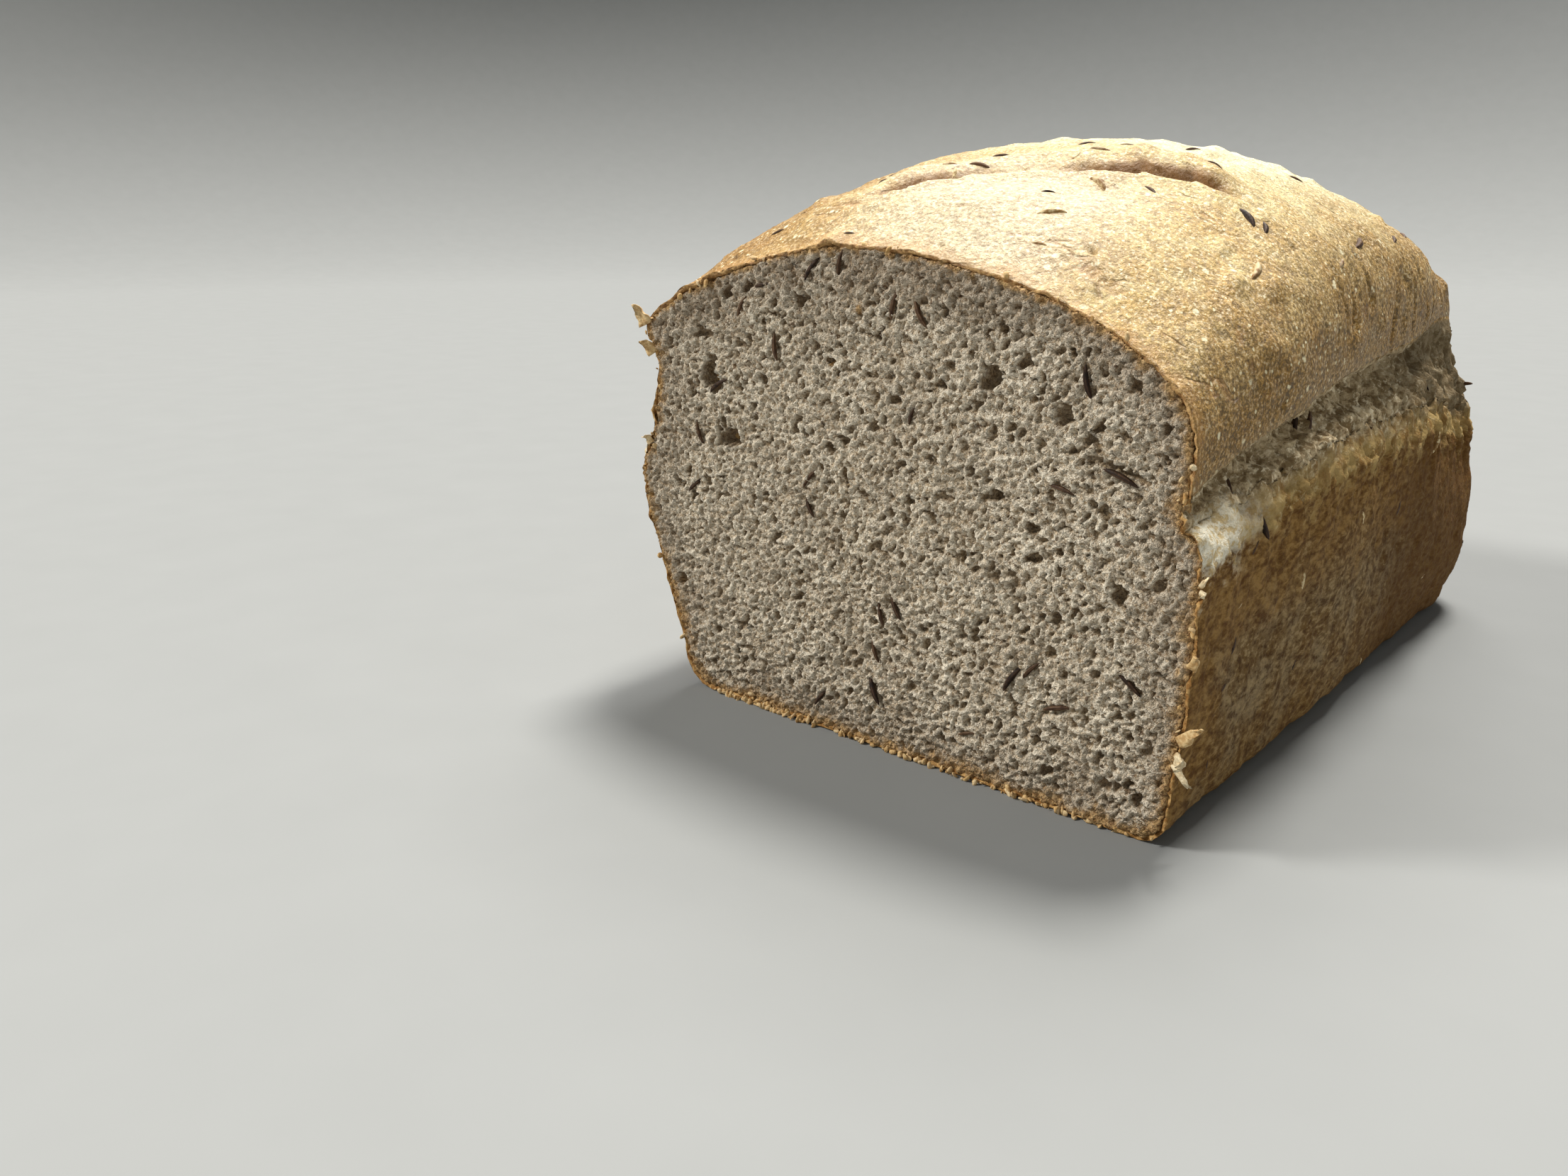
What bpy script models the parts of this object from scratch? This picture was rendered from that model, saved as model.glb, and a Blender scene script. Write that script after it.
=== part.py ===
"""A tin-baked rye loaf with its front slices cut away.

The loaf is lofted whole, the way it came out of its tin: flat base, rounded foot, leaning tin wall, the rim where
the dough met the tin's edge, the band that tore open as the loaf sprang, and the dome over it. A knife block then
takes the front off, which leaves the flat cut face. Z is up, the cut face looks to -Y, and the origin is at the
middle of the base's box. Sizes are in metres.
"""

import bpy
import bmesh
import numpy as np

# Footprint of the tin wall's foot, with the cut face at y = 0 while the loaf is shaped.
FOOT_LEFT = -0.0465
FOOT_RIGHT = 0.0550
FOOT_REAR = 0.1730
FOOT_FRONT = -0.0400
CORNER_RADIUS = 0.0220

# The line along the dome's crown, towards which every section closes.
CROWN_X = -0.0100
CROWN_START = -0.0140
CROWN_END = 0.0900
CROWN_HEIGHT = ((-0.014, 0.0770), (0.0, 0.0840), (0.012, 0.0920), (0.025, 0.0964), (0.050, 0.1028), (0.075, 0.1035),
                (0.090, 0.1023))

# Sizes of the four sides. A pair list gives a size at stations along the length, a number holds all along.
SIDES = {
    "right": dict(
        foot_radius=0.0050,
        lean=((0.0, 0.0025), (0.080, 0.0025), (0.150, 0.0010)),
        belly=((0.0, 0.0005), (0.080, 0.0008), (0.150, 0.0032)),
        rim_height=((0.0, 0.0485), (0.020, 0.0505), (0.045, 0.0535), (0.110, 0.0530), (0.145, 0.0480)),
        tear_depth=((0.0, 0.0036), (0.050, 0.0066), (0.150, 0.0075)),
        dome_edge=((0.0, 0.0530), (0.020, 0.0585), (0.050, 0.0642), (0.080, 0.0668), (0.115, 0.0688), (0.150, 0.0680)),
        dome_inset=((0.0, 0.0034), (0.060, 0.0028), (0.110, 0.0038), (0.150, 0.0095)),
        arch=((0.0, 2.30), (0.060, 2.40), (0.150, 1.80)),
    ),
    "left": dict(
        foot_radius=0.0080,
        lean=0.0126,
        belly=0.0,
        rim_height=0.0470,
        tear_depth=0.0050,
        dome_edge=0.0680,
        dome_inset=((0.0, 0.0030), (0.030, 0.0), (0.080, 0.0), (0.140, 0.0030)),
        arch=((0.0, 1.60), (0.030, 1.78), (0.080, 1.78), (0.140, 1.60)),
    ),
    "rear": dict(
        foot_radius=0.0090,
        lean=-0.0015,
        belly=0.0035,
        rim_height=0.0450,
        tear_depth=0.0090,
        dome_edge=0.0615,
        dome_inset=0.0065,
        arch=1.80,
    ),
    "front": dict(
        foot_radius=0.0060,
        lean=0.0050,
        belly=0.0,
        rim_height=0.0460,
        tear_depth=0.0060,
        dome_edge=0.0600,
        dome_inset=0.0050,
        arch=2.20,
    ),
}

# The rim's rounded lip, and the unevenness of a hand-shaped loaf.
RIM_RADIUS = 0.0032
RIM_RISE = 0.0060
RIM_LUMP = 0.0007
SWELL = 0.0009

# The shallow fold that the shaping left aslant over the crown: its ends in plan, how far its middle bows to the
# rear, its depth, the lip behind it and its half width.
FOLD_START = (-0.0100, 0.0080)
FOLD_END = (0.0420, 0.0425)
FOLD_BOW = 0.0030
FOLD_DEPTH = 0.0022
FOLD_LIP = 0.0014
FOLD_HALF_WIDTH = 0.0040

# How many points and rings the loft has.
SIDE_POINTS = 34
END_POINTS = 16
CORNER_POINTS = 7
FOOT_RINGS = 4
WALL_RINGS = 5
RIM_RINGS = 3
TEAR_RINGS = 4
DOME_RINGS = 17


def along(size, y):
    """A size at the places y along the loaf: a smooth curve through its stations, or the number itself."""
    if np.isscalar(size):
        return np.full_like(y, size)
    stations, values = np.array(size).T
    steps = np.diff(stations)
    slopes = np.diff(values) / steps
    tangents = np.concatenate([slopes[:1], np.zeros(len(slopes) - 1), slopes[-1:]])
    same_way = slopes[:-1] * slopes[1:] > 0
    tangents[1:-1][same_way] = (2 * slopes[:-1] * slopes[1:])[same_way] / (slopes[:-1] + slopes[1:])[same_way]
    y = np.clip(y, stations[0], stations[-1])
    span = np.clip(np.searchsorted(stations, y, side="right") - 1, 0, len(steps) - 1)
    step = steps[span]
    t = (y - stations[span]) / step
    return (
        (2 * t**3 - 3 * t**2 + 1) * values[span]
        + (t**3 - 2 * t**2 + t) * step * tangents[span]
        + (3 * t**2 - 2 * t**3) * values[span + 1]
        + (t**3 - t**2) * step * tangents[span + 1]
    )


def footprint():
    """Points and outward normals round the foot of the tin wall, a rectangle with rounded corners."""
    left, right = FOOT_LEFT + CORNER_RADIUS, FOOT_RIGHT - CORNER_RADIUS
    front, rear = FOOT_FRONT + CORNER_RADIUS, FOOT_REAR - CORNER_RADIUS
    centres = [(right, front), (right, rear), (left, rear), (left, front)]
    points, normals = [], []
    for side, centre in enumerate(centres):
        start = (side - 1) * np.pi / 2
        turn = start + np.linspace(0, np.pi / 2, CORNER_POINTS)
        outward = np.stack([np.cos(turn), np.sin(turn)], axis=1)
        corner = np.array(centre) + CORNER_RADIUS * outward
        after = np.array(centres[(side + 1) % 4]) + CORNER_RADIUS * outward[-1]
        count = SIDE_POINTS if side % 2 == 0 else END_POINTS
        share = np.linspace(0, 1, count + 1)[1:-1, None]
        points += [corner, corner[-1] + (after - corner[-1]) * share]
        normals += [outward, np.repeat(outward[-1:], count - 1, axis=0)]
    return np.concatenate(points), np.concatenate(normals)


def uneven(ring):
    """A slow swell over the whole crust, as dough never fills its tin quite evenly."""
    x, y, z = ring.T
    wave = np.sin(61 * x + 2.0) * np.cos(43 * y + 0.6) + 0.6 * np.sin(97 * y + 75 * z) + 0.5 * np.cos(88 * x - 70 * z)
    return SWELL * wave


def fold(x, y):
    """Height of the crown's fold: a groove with a raised lip behind it."""
    start, end = np.array(FOLD_START), np.array(FOLD_END)
    run = end - start
    length = np.hypot(*run)
    share = ((x - start[0]) * run[0] + (y - start[1]) * run[1]) / length**2
    behind = ((y - start[1]) * run[0] - (x - start[0]) * run[1]) / length
    behind = behind - FOLD_BOW * 4 * np.clip(share, 0, 1) * (1 - np.clip(share, 0, 1))
    fade = np.exp(-(np.clip(np.abs(2 * share - 1) - 0.75, 0, None) ** 2) / 0.03)
    groove = np.exp(-((behind / FOLD_HALF_WIDTH) ** 2))
    lip = np.exp(-(((behind - 2.2 * FOLD_HALF_WIDTH) / (1.8 * FOLD_HALF_WIDTH)) ** 2))
    return fade * (FOLD_LIP * lip - FOLD_DEPTH * groove)


def rings():
    """The loft's rings, from the foot of the wall up to the crown."""
    points, normals = footprint()
    x, y = points.T
    weights = {
        "right": np.clip(normals[:, 0], 0, 1) ** 2,
        "left": np.clip(-normals[:, 0], 0, 1) ** 2,
        "rear": np.clip(normals[:, 1], 0, 1) ** 2,
        "front": np.clip(-normals[:, 1], 0, 1) ** 2,
    }
    size = {
        name: sum(weights[side] * along(sizes[name], y) for side, sizes in SIDES.items())
        for name in SIDES["right"]
    }

    def ring(outward, height):
        flat = points + normals * np.broadcast_to(outward, x.shape)[:, None]
        made = np.column_stack([flat, np.broadcast_to(height, x.shape)])
        raised = np.clip(made[:, 2] / (2 * RIM_RISE), 0, 1)
        made[:, :2] += normals * (uneven(made) * raised)[:, None]
        return made

    foot, lean = size["foot_radius"], size["lean"]
    made = [ring(-foot, 0.0)]
    for turn in np.linspace(0, np.pi / 2, FOOT_RINGS + 1)[1:]:
        made.append(ring(foot * (np.sin(turn) - 1), foot * (1 - np.cos(turn))))

    lump = RIM_LUMP * (np.sin(520 * y + 3 * np.sin(90 * y)) + np.sin(430 * x))
    shoulder = size["rim_height"] - RIM_RISE
    for share in np.linspace(0, 1, WALL_RINGS + 1)[1:]:
        outward = lean * share**1.1 + size["belly"] * np.sin(np.pi * share**0.8)
        made.append(ring(outward + lump * share**4, foot + (shoulder - foot) * share))
    for turn in np.linspace(0, np.pi / 2, RIM_RINGS + 1)[1:]:
        made.append(ring(lean - RIM_RADIUS * (1 - np.cos(turn)) + lump, shoulder + (RIM_RISE + lump) * np.sin(turn)))

    for share in np.linspace(0, 1, TEAR_RINGS + 2)[1:-1]:
        depth = RIM_RADIUS + (size["tear_depth"] - RIM_RADIUS) * np.sin(min(1.6 * share, 1) * np.pi / 2)
        height = size["rim_height"] + (size["dome_edge"] - size["rim_height"]) * share
        made.append(ring(lean - depth, height))

    edge = ring(lean - size["dome_inset"], size["dome_edge"])
    crown_y = np.clip(y, CROWN_START, CROWN_END)
    crown_z = along(CROWN_HEIGHT, crown_y)
    reach = edge[:, :2] - np.column_stack([np.full_like(y, CROWN_X), crown_y])
    distance = np.hypot(*reach.T)
    heading = reach / distance[:, None]
    half_width = np.where(heading[:, 0] > 0, edge[:, 0].max() - CROWN_X, CROWN_X - edge[:, 0].min())
    length = np.where(heading[:, 1] > 0, edge[:, 1].max() - CROWN_END, CROWN_START - edge[:, 1].min())
    round_distance = half_width * heading[:, 0] ** 2 + length * heading[:, 1] ** 2
    for share in np.linspace(0, 1, DOME_RINGS):
        inward = share**1.6
        rounded = inward**0.7
        out = (1 - inward) * (distance + (round_distance - distance) * rounded)
        across = CROWN_X + heading[:, 0] * out
        back = crown_y + heading[:, 1] * out
        arch = (1 - (1 - inward) ** size["arch"]) ** (1 / size["arch"])
        height = edge[:, 2] + (crown_z - edge[:, 2]) * arch
        swell = uneven(np.column_stack([across, back, height])) * inward
        made.append(np.column_stack([across, back, height + swell + fold(across, back)]))
    return np.array(made)


def centre_of(loft):
    """The middle of the cut loaf's box, in plan."""
    kept = loft[loft[:, :, 1] >= 0]
    return np.array([(kept[:, 0].min() + kept[:, 0].max()) / 2, kept[:, 1].max() / 2, 0.0])


def new_object(name, mesh, collection):
    made = bpy.data.objects.new(name, mesh)
    collection.objects.link(made)
    return made


def lofted_loaf(loft, collection):
    """The whole loaf as one closed mesh, smooth all over but for the flat base."""
    mesh = bpy.data.meshes.new("loaf")
    bm = bmesh.new()
    rows = [[bm.verts.new(point) for point in ring] for ring in loft]
    count = len(rows[0])
    base = bm.faces.new(reversed(rows[0]))
    for lower, upper in zip(rows, rows[1:]):
        for i in range(count):
            j = (i + 1) % count
            bm.faces.new((lower[i], lower[j], upper[j], upper[i]))
    bmesh.ops.remove_doubles(bm, verts=rows[-1], dist=0.00005)
    for face in bm.faces:
        face.smooth = face is not base
    bm.to_mesh(mesh)
    bm.free()
    return new_object("loaf", mesh, collection)


def knife_block(centre, collection):
    """The block that takes the front off: its rear face is the cut."""
    width, depth, height = 0.20, 0.08, 0.20
    bm = bmesh.new()
    bmesh.ops.create_cube(bm, size=1.0)
    bmesh.ops.scale(bm, vec=(width, depth, height), verts=bm.verts)
    mesh = bpy.data.meshes.new("knife_block")
    bm.to_mesh(mesh)
    bm.free()
    block = new_object("knife_block", mesh, collection)
    block.location = (0.0, -centre[1] - depth / 2, height / 4)
    block.hide_render = True
    block.display_type = "WIRE"
    return block


def crust_material():
    material = bpy.data.materials.new("crust")
    material.use_nodes = True
    shader = material.node_tree.nodes["Principled BSDF"]
    shader.inputs["Base Color"].default_value = (0.52, 0.30, 0.12, 1.0)
    shader.inputs["Roughness"].default_value = 0.6
    shader.inputs["Metallic"].default_value = 0.0
    return material


def main():
    for old in list(bpy.data.objects):
        bpy.data.objects.remove(old, do_unlink=True)
    collections = {}
    for name in ("rye_loaf", "cutters"):
        collections[name] = bpy.data.collections.new(name)
        bpy.context.scene.collection.children.link(collections[name])

    loft = rings()
    centre = centre_of(loft)
    loaf = lofted_loaf(loft - centre, collections["rye_loaf"])
    loaf.data.materials.append(crust_material())
    cut = loaf.modifiers.new("cut_front", "BOOLEAN")
    cut.operation = "DIFFERENCE"
    cut.object = knife_block(centre, collections["cutters"])


main()
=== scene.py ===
"""The looks of a tin-baked rye loaf, cut open at the front.

The crust is lofted as the solid loaf is, in finer steps, and parted where the real one changes: the crust that lay
against the tin, the band that tore open above it, and the dome. The cut face is a slab of open crumb set in the
crust. Caraway seeds, torn flakes of crust and loose crumbs lie in and on them. Sizes are in metres.
"""

import math
import random

import bmesh
import bpy
import numpy as np
from mathutils import Matrix, Vector, noise
from mathutils.bvhtree import BVHTree


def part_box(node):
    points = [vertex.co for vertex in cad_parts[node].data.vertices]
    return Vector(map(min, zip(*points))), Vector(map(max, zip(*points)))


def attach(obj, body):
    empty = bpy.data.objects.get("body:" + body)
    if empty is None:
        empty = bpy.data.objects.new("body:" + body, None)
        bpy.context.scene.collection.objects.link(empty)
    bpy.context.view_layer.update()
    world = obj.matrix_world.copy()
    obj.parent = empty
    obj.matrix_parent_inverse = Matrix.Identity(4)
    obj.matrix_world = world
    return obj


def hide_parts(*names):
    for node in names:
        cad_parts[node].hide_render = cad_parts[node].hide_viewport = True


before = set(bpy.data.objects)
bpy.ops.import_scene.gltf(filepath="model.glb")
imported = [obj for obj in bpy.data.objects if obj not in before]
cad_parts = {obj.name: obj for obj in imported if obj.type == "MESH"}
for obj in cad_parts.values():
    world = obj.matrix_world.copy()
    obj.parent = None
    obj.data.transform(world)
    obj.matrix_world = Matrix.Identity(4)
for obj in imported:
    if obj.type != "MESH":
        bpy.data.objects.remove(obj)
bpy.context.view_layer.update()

# ---------------------------------------------------------------- the loaf's form, shaped with the cut at y = 0

FOOT_LEFT, FOOT_RIGHT, FOOT_REAR = -0.0465, 0.0550, 0.1730
CORNER_RADIUS = 0.0220
CROWN_X, CROWN_END = -0.0100, 0.0900
CROWN_HEIGHT = ((0.0, 0.0840), (0.012, 0.0920), (0.025, 0.0964), (0.050, 0.1028), (0.075, 0.1035), (0.090, 0.1023))
CROWN_START_HEIGHT = (-0.014, 0.0770)

# Sizes of the three sides. A pair list gives a size at stations along the length, a number holds all along.
SIDES = {
    "right": dict(
        foot_radius=0.0050,
        lean=((0.0, 0.0025), (0.080, 0.0025), (0.150, 0.0010)),
        belly=((0.0, 0.0005), (0.080, 0.0008), (0.150, 0.0032)),
        rim_height=((0.0, 0.0485), (0.020, 0.0505), (0.045, 0.0535), (0.110, 0.0530), (0.145, 0.0480)),
        tear_depth=((0.0, 0.0036), (0.050, 0.0066), (0.150, 0.0075)),
        dome_edge=((0.0, 0.0530), (0.020, 0.0585), (0.050, 0.0642), (0.080, 0.0668), (0.115, 0.0688), (0.150, 0.0680)),
        dome_inset=((0.0, 0.0034), (0.060, 0.0028), (0.110, 0.0038), (0.150, 0.0095)),
        arch=((0.0, 2.30), (0.060, 2.40), (0.150, 1.80)),
    ),
    "left": dict(
        foot_radius=0.0080,
        lean=0.0126,
        belly=0.0,
        rim_height=0.0470,
        tear_depth=0.0050,
        dome_edge=0.0680,
        dome_inset=((0.0, 0.0030), (0.030, 0.0), (0.080, 0.0), (0.140, 0.0030)),
        arch=((0.0, 1.60), (0.030, 1.78), (0.080, 1.78), (0.140, 1.60)),
    ),
    "rear": dict(
        foot_radius=0.0090,
        lean=-0.0015,
        belly=0.0035,
        rim_height=0.0450,
        tear_depth=0.0090,
        dome_edge=0.0615,
        dome_inset=0.0065,
        arch=1.80,
    ),
}
RIM_RADIUS, RIM_RISE, RIM_LUMP = 0.0032, 0.0060, 0.0003
SWELL = 0.0009
EDGE_ROLL, BAND_RECESS = 0.0013, 0.0005

# The fold that the shaping left aslant over the crown: its ends, how far its middle bows to the rear, how deep the
# skin dips behind the fold's edge, how wide the dip is, and how far the skin behind it rises again.
FOLD_START, FOLD_END, FOLD_BOW = (-0.0100, 0.0080), (0.0420, 0.0425), 0.0030
FOLD_DEPTH, FOLD_WIDTH, FOLD_LIP = 0.0030, 0.0030, 0.0018

# How many points go round the loaf, and how many rows each stretch of the profile has.
ROUND_POINTS = 740
BASE_ROWS, FOOT_ROWS, WALL_ROWS, RIM_ROWS, BAND_ROWS, DOME_ROWS = 26, 13, 76, 14, 26, 122
DRAFT_STEPS = 90

# The crust's section at the cut: how thick it is, how far its torn edge stands proud, how deep the crumb is set.
CRUST_THICK, CRUST_RAGGED, CRUMB_SET = 0.0009, 0.0006, 0.0034

# The section's columns, from the skin inwards: share of the thickness, share of the ragged edge, distance set back.
SECTION_STEPS = (
    (0.10, 0.9, 0.0),
    (0.32, 1.0, 0.0),
    (0.60, 0.6, 0.0002),
    (0.85, 0.0, 0.0009),
    (1.1, 0.0, CRUMB_SET),
)


def along(size, y):
    """A size at the places y along the loaf: a smooth curve through its stations, or the number itself."""
    if np.isscalar(size):
        return np.full_like(y, size)
    stations, values = np.array(size).T
    steps = np.diff(stations)
    slopes = np.diff(values) / steps
    tangents = np.concatenate([slopes[:1], np.zeros(len(slopes) - 1), slopes[-1:]])
    same_way = slopes[:-1] * slopes[1:] > 0
    tangents[1:-1][same_way] = (2 * slopes[:-1] * slopes[1:])[same_way] / (slopes[:-1] + slopes[1:])[same_way]
    y = np.clip(y, stations[0], stations[-1])
    span = np.clip(np.searchsorted(stations, y, side="right") - 1, 0, len(steps) - 1)
    step = steps[span]
    t = (y - stations[span]) / step
    return (
        (2 * t**3 - 3 * t**2 + 1) * values[span]
        + (t**3 - 2 * t**2 + t) * step * tangents[span]
        + (3 * t**2 - 2 * t**3) * values[span + 1]
        + (t**3 - t**2) * step * tangents[span + 1]
    )


def smooth(low, high, value):
    """0 below low, 1 above high, and an even slope between them."""
    t = np.clip((value - low) / (high - low), 0, 1)
    return t * t * (3 - 2 * t)


def footprint():
    """Points and outward normals along the foot of the wall, from the cut's right end round the rear to its left."""
    step = 0.0004
    right, left, rear = FOOT_RIGHT - CORNER_RADIUS, FOOT_LEFT + CORNER_RADIUS, FOOT_REAR - CORNER_RADIUS
    sides = int(rear / step)
    ends = int((right - left) / step)
    corner = int(CORNER_RADIUS * math.pi / 2 / step)
    turn = np.linspace(0, np.pi / 2, corner)
    out = np.stack([np.cos(turn), np.sin(turn)], axis=1)
    back = np.stack([-np.sin(turn), np.cos(turn)], axis=1)
    y = np.linspace(0, rear, sides, endpoint=False)
    x = np.linspace(right, left, ends + 1)[1:-1]
    points = [
        np.column_stack([np.full(sides, FOOT_RIGHT), y]),
        np.array([right, rear]) + CORNER_RADIUS * out,
        np.column_stack([x, np.full(len(x), FOOT_REAR)]),
        np.array([left, rear]) + CORNER_RADIUS * back,
        np.column_stack([np.full(sides, FOOT_LEFT), y[::-1]]),
    ]
    normals = [np.tile([1.0, 0.0], (sides, 1)), out, np.tile([0.0, 1.0], (len(x), 1)), back,
               np.tile([-1.0, 0.0], (sides, 1))]
    return np.concatenate(points), np.concatenate(normals)


def uneven(ring):
    """A slow swell over the whole crust, as dough never fills its tin quite evenly."""
    x, y, z = ring.T
    wave = np.sin(61 * x + 2.0) * np.cos(43 * y + 0.6) + 0.6 * np.sin(97 * y + 75 * z) + 0.5 * np.cos(88 * x - 70 * z)
    return SWELL * wave


def fold(x, y):
    """The crown's fold: the height it adds, and how far into its dip a place lies, from 0 to 1."""
    start, end = np.array(FOLD_START), np.array(FOLD_END)
    run = end - start
    length = np.hypot(*run)
    share = ((x - start[0]) * run[0] + (y - start[1]) * run[1]) / length**2
    behind = ((y - start[1]) * run[0] - (x - start[0]) * run[1]) / length
    behind = behind - FOLD_BOW * 4 * np.clip(share, 0, 1) * (1 - np.clip(share, 0, 1))
    behind = behind - 0.0005 * np.sin(46 * share) - 0.0003 * np.sin(97 * share + 1)
    fade = np.exp(-(np.clip(np.abs(2 * share - 1) - 0.75, 0, None) ** 2) / 0.03)
    depth = (0.55 + 0.45 * np.cos(2 * np.pi * (share - 0.14) / 0.62)) * (0.62 + 0.38 * smooth(0.3, 0.6, share))
    dip = smooth(-0.0003, 0.0007, behind) * (1 - smooth(0.0009, FOLD_WIDTH, behind))
    edge = 0.0005 * np.exp(-(((behind + 0.0008) / 0.0016) ** 2))
    lip = np.exp(-(((behind - 2.2 * FOLD_WIDTH) / (1.8 * FOLD_WIDTH)) ** 2))
    # the brown in the dip: partly the crease's own bake, partly painted shade
    crease_brown_and_shade = smooth(-0.0003, 0.0007, behind) * (1 - smooth(0.0016, 0.0042, behind))
    return fade * (FOLD_LIP * lip + edge - FOLD_DEPTH * depth * dip), fade * crease_brown_and_shade * depth


def spaced(rows, count):
    """Rows re-made as `count` rows an equal distance apart along each profile."""
    steps = np.linalg.norm(np.diff(rows[:, :, :3], axis=0), axis=2)
    reach = np.vstack([np.zeros(rows.shape[1]), np.cumsum(steps, axis=0)])
    wanted = np.linspace(0, 1, count)
    made = np.empty((count, rows.shape[1], rows.shape[2]))
    for i in range(rows.shape[1]):
        share = reach[:, i] / reach[-1, i]
        for part in range(rows.shape[2]):
            made[:, i, part] = np.interp(wanted, share, rows[:, i, part])
    return made


def spread_round(row, count):
    """One row re-made as `count` points an equal distance apart."""
    steps = np.linalg.norm(np.diff(row[:, :3], axis=0), axis=1) + 1e-9
    reach = np.concatenate([[0], np.cumsum(steps)])
    wanted = np.linspace(0, reach[-1], count)
    return np.column_stack([np.interp(wanted, reach, part) for part in row.T])


def loft():
    """The crust's rows from the middle of the base to the crown, and the row at which each stretch starts.

    A point holds x, y, z, the way round, the way up, the dip of the fold, and its stretch of the profile: 0 to 1 on
    the base, 1 to 2 on the foot, then the wall, the rim, the torn band and the dome."""
    points, normals = footprint()
    x, y = points.T
    way_round = np.concatenate([[0], np.cumsum(np.linalg.norm(np.diff(points, axis=0), axis=1))])
    weights = {
        "right": np.clip(normals[:, 0], 0, 1) ** 2,
        "left": np.clip(-normals[:, 0], 0, 1) ** 2,
        "rear": normals[:, 1] ** 2,
    }
    size = {
        name: sum(weights[side] * along(sizes[name], y) for side, sizes in SIDES.items())
        for name in SIDES["right"]
    }

    def ring(outward, height):
        flat = points + normals * np.broadcast_to(outward, x.shape)[:, None]
        made = np.column_stack([flat, np.broadcast_to(height, x.shape)])
        raised = np.clip(made[:, 2] / (2 * RIM_RISE), 0, 1)
        made[:, :2] += normals * (uneven(made) * raised)[:, None]
        return np.column_stack([made, way_round, np.zeros_like(x)])

    foot, lean = size["foot_radius"], size["lean"]
    middle = np.column_stack([np.full_like(y, CROWN_X), np.clip(y, 0, CROWN_END), np.zeros_like(y)])
    foot_ring = ring(-foot, 0.0)

    def base(share):
        made = foot_ring.copy()
        made[:, :3] = middle + (foot_ring[:, :3] - middle) * share
        return made

    def foot_turn(share):
        turn = share * np.pi / 2
        return ring(foot * (np.sin(turn) - 1), foot * (1 - np.cos(turn)))

    lump = RIM_LUMP * (np.sin(520 * y + 3 * np.sin(90 * y)) + np.sin(430 * x))
    shoulder = size["rim_height"] - RIM_RISE

    def wall(share):
        outward = lean * share**1.1 + size["belly"] * np.sin(np.pi * share**0.8)
        return ring(outward + lump * share**4, foot + (shoulder - foot) * share)

    def rim(share):
        turn = share * np.pi / 2
        return ring(lean - RIM_RADIUS * (1 - np.cos(turn)) + lump, shoulder + (RIM_RISE + lump) * np.sin(turn))

    def band(share):
        depth = RIM_RADIUS + (size["tear_depth"] - RIM_RADIUS) * smooth(-0.1, 0.8, np.full_like(x, share))
        tuck = smooth(0.75, 1.0, np.full_like(x, share))
        depth = depth + (size["dome_inset"] - depth) * tuck + BAND_RECESS * np.sin(np.pi * share) ** 2
        rim_top = size["rim_height"] + lump * (1 - min(4 * share, 1))
        return ring(lean - depth + lump * (1 - min(4 * share, 1)), rim_top + (size["dome_edge"] - rim_top) * share)

    edge = ring(lean - size["dome_inset"], size["dome_edge"])
    crown_y = np.clip(y, 0, CROWN_END)
    crown_z = along((CROWN_START_HEIGHT,) + CROWN_HEIGHT, crown_y)
    reach = edge[:, :2] - np.column_stack([np.full_like(y, CROWN_X), crown_y])
    distance = np.hypot(*reach.T)
    heading = reach / distance[:, None]
    half_width = np.where(heading[:, 0] > 0, edge[:, 0].max() - CROWN_X, CROWN_X - edge[:, 0].min())
    round_distance = half_width * heading[:, 0] ** 2 + (edge[:, 1].max() - CROWN_END) * heading[:, 1] ** 2

    def dome(share):
        inward = share**1.6
        out = (1 - inward) * (distance + (round_distance - distance) * inward**0.7)
        out = out + EDGE_ROLL * np.sin(np.pi * min(share / 0.32, 1))
        across = CROWN_X + heading[:, 0] * out
        back = crown_y + heading[:, 1] * out
        arch = (1 - (1 - inward) ** size["arch"]) ** (1 / size["arch"])
        height = edge[:, 2] + (crown_z - edge[:, 2]) * arch
        swell = uneven(np.column_stack([across, back, height])) * inward
        crease, dip = fold(across, back)
        return np.column_stack([across, back, height + swell + crease, way_round, dip])

    makers = [(base, BASE_ROWS), (foot_turn, FOOT_ROWS), (wall, WALL_ROWS), (rim, RIM_ROWS), (band, BAND_ROWS),
              (dome, DOME_ROWS)]
    rows, zones, starts = [], [], {}
    for zone, (make, count) in enumerate(makers):
        made = spaced(np.array([make(share) for share in np.linspace(0, 1, DRAFT_STEPS)]), count)
        starts[make.__name__] = max(len(rows) - 1, 0)
        rows += list(made[1:] if rows else made)
        zones += list(np.linspace(zone, zone + 1, count)[1 if zones else 0:])
    rows = np.array([spread_round(row, ROUND_POINTS) for row in rows])
    steps = np.linalg.norm(np.diff(rows[:, :, :3], axis=0), axis=2)
    way_up = np.vstack([np.zeros(ROUND_POINTS), np.cumsum(steps, axis=0)])
    way_up -= way_up[starts["foot_turn"]]
    zones = np.repeat(np.array(zones)[:, None], ROUND_POINTS, axis=1)
    return np.dstack([rows[:, :, :4], way_up, rows[:, :, 4], zones]), starts


def facing(rows):
    """Outward normals of a lofted sheet."""
    up = np.gradient(rows, axis=0)
    on = np.gradient(rows, axis=1)
    out = np.cross(on, up)
    return out / (np.linalg.norm(out, axis=2, keepdims=True) + 1e-12)


# ---------------------------------------------------------------- nodes, written as sums


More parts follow.
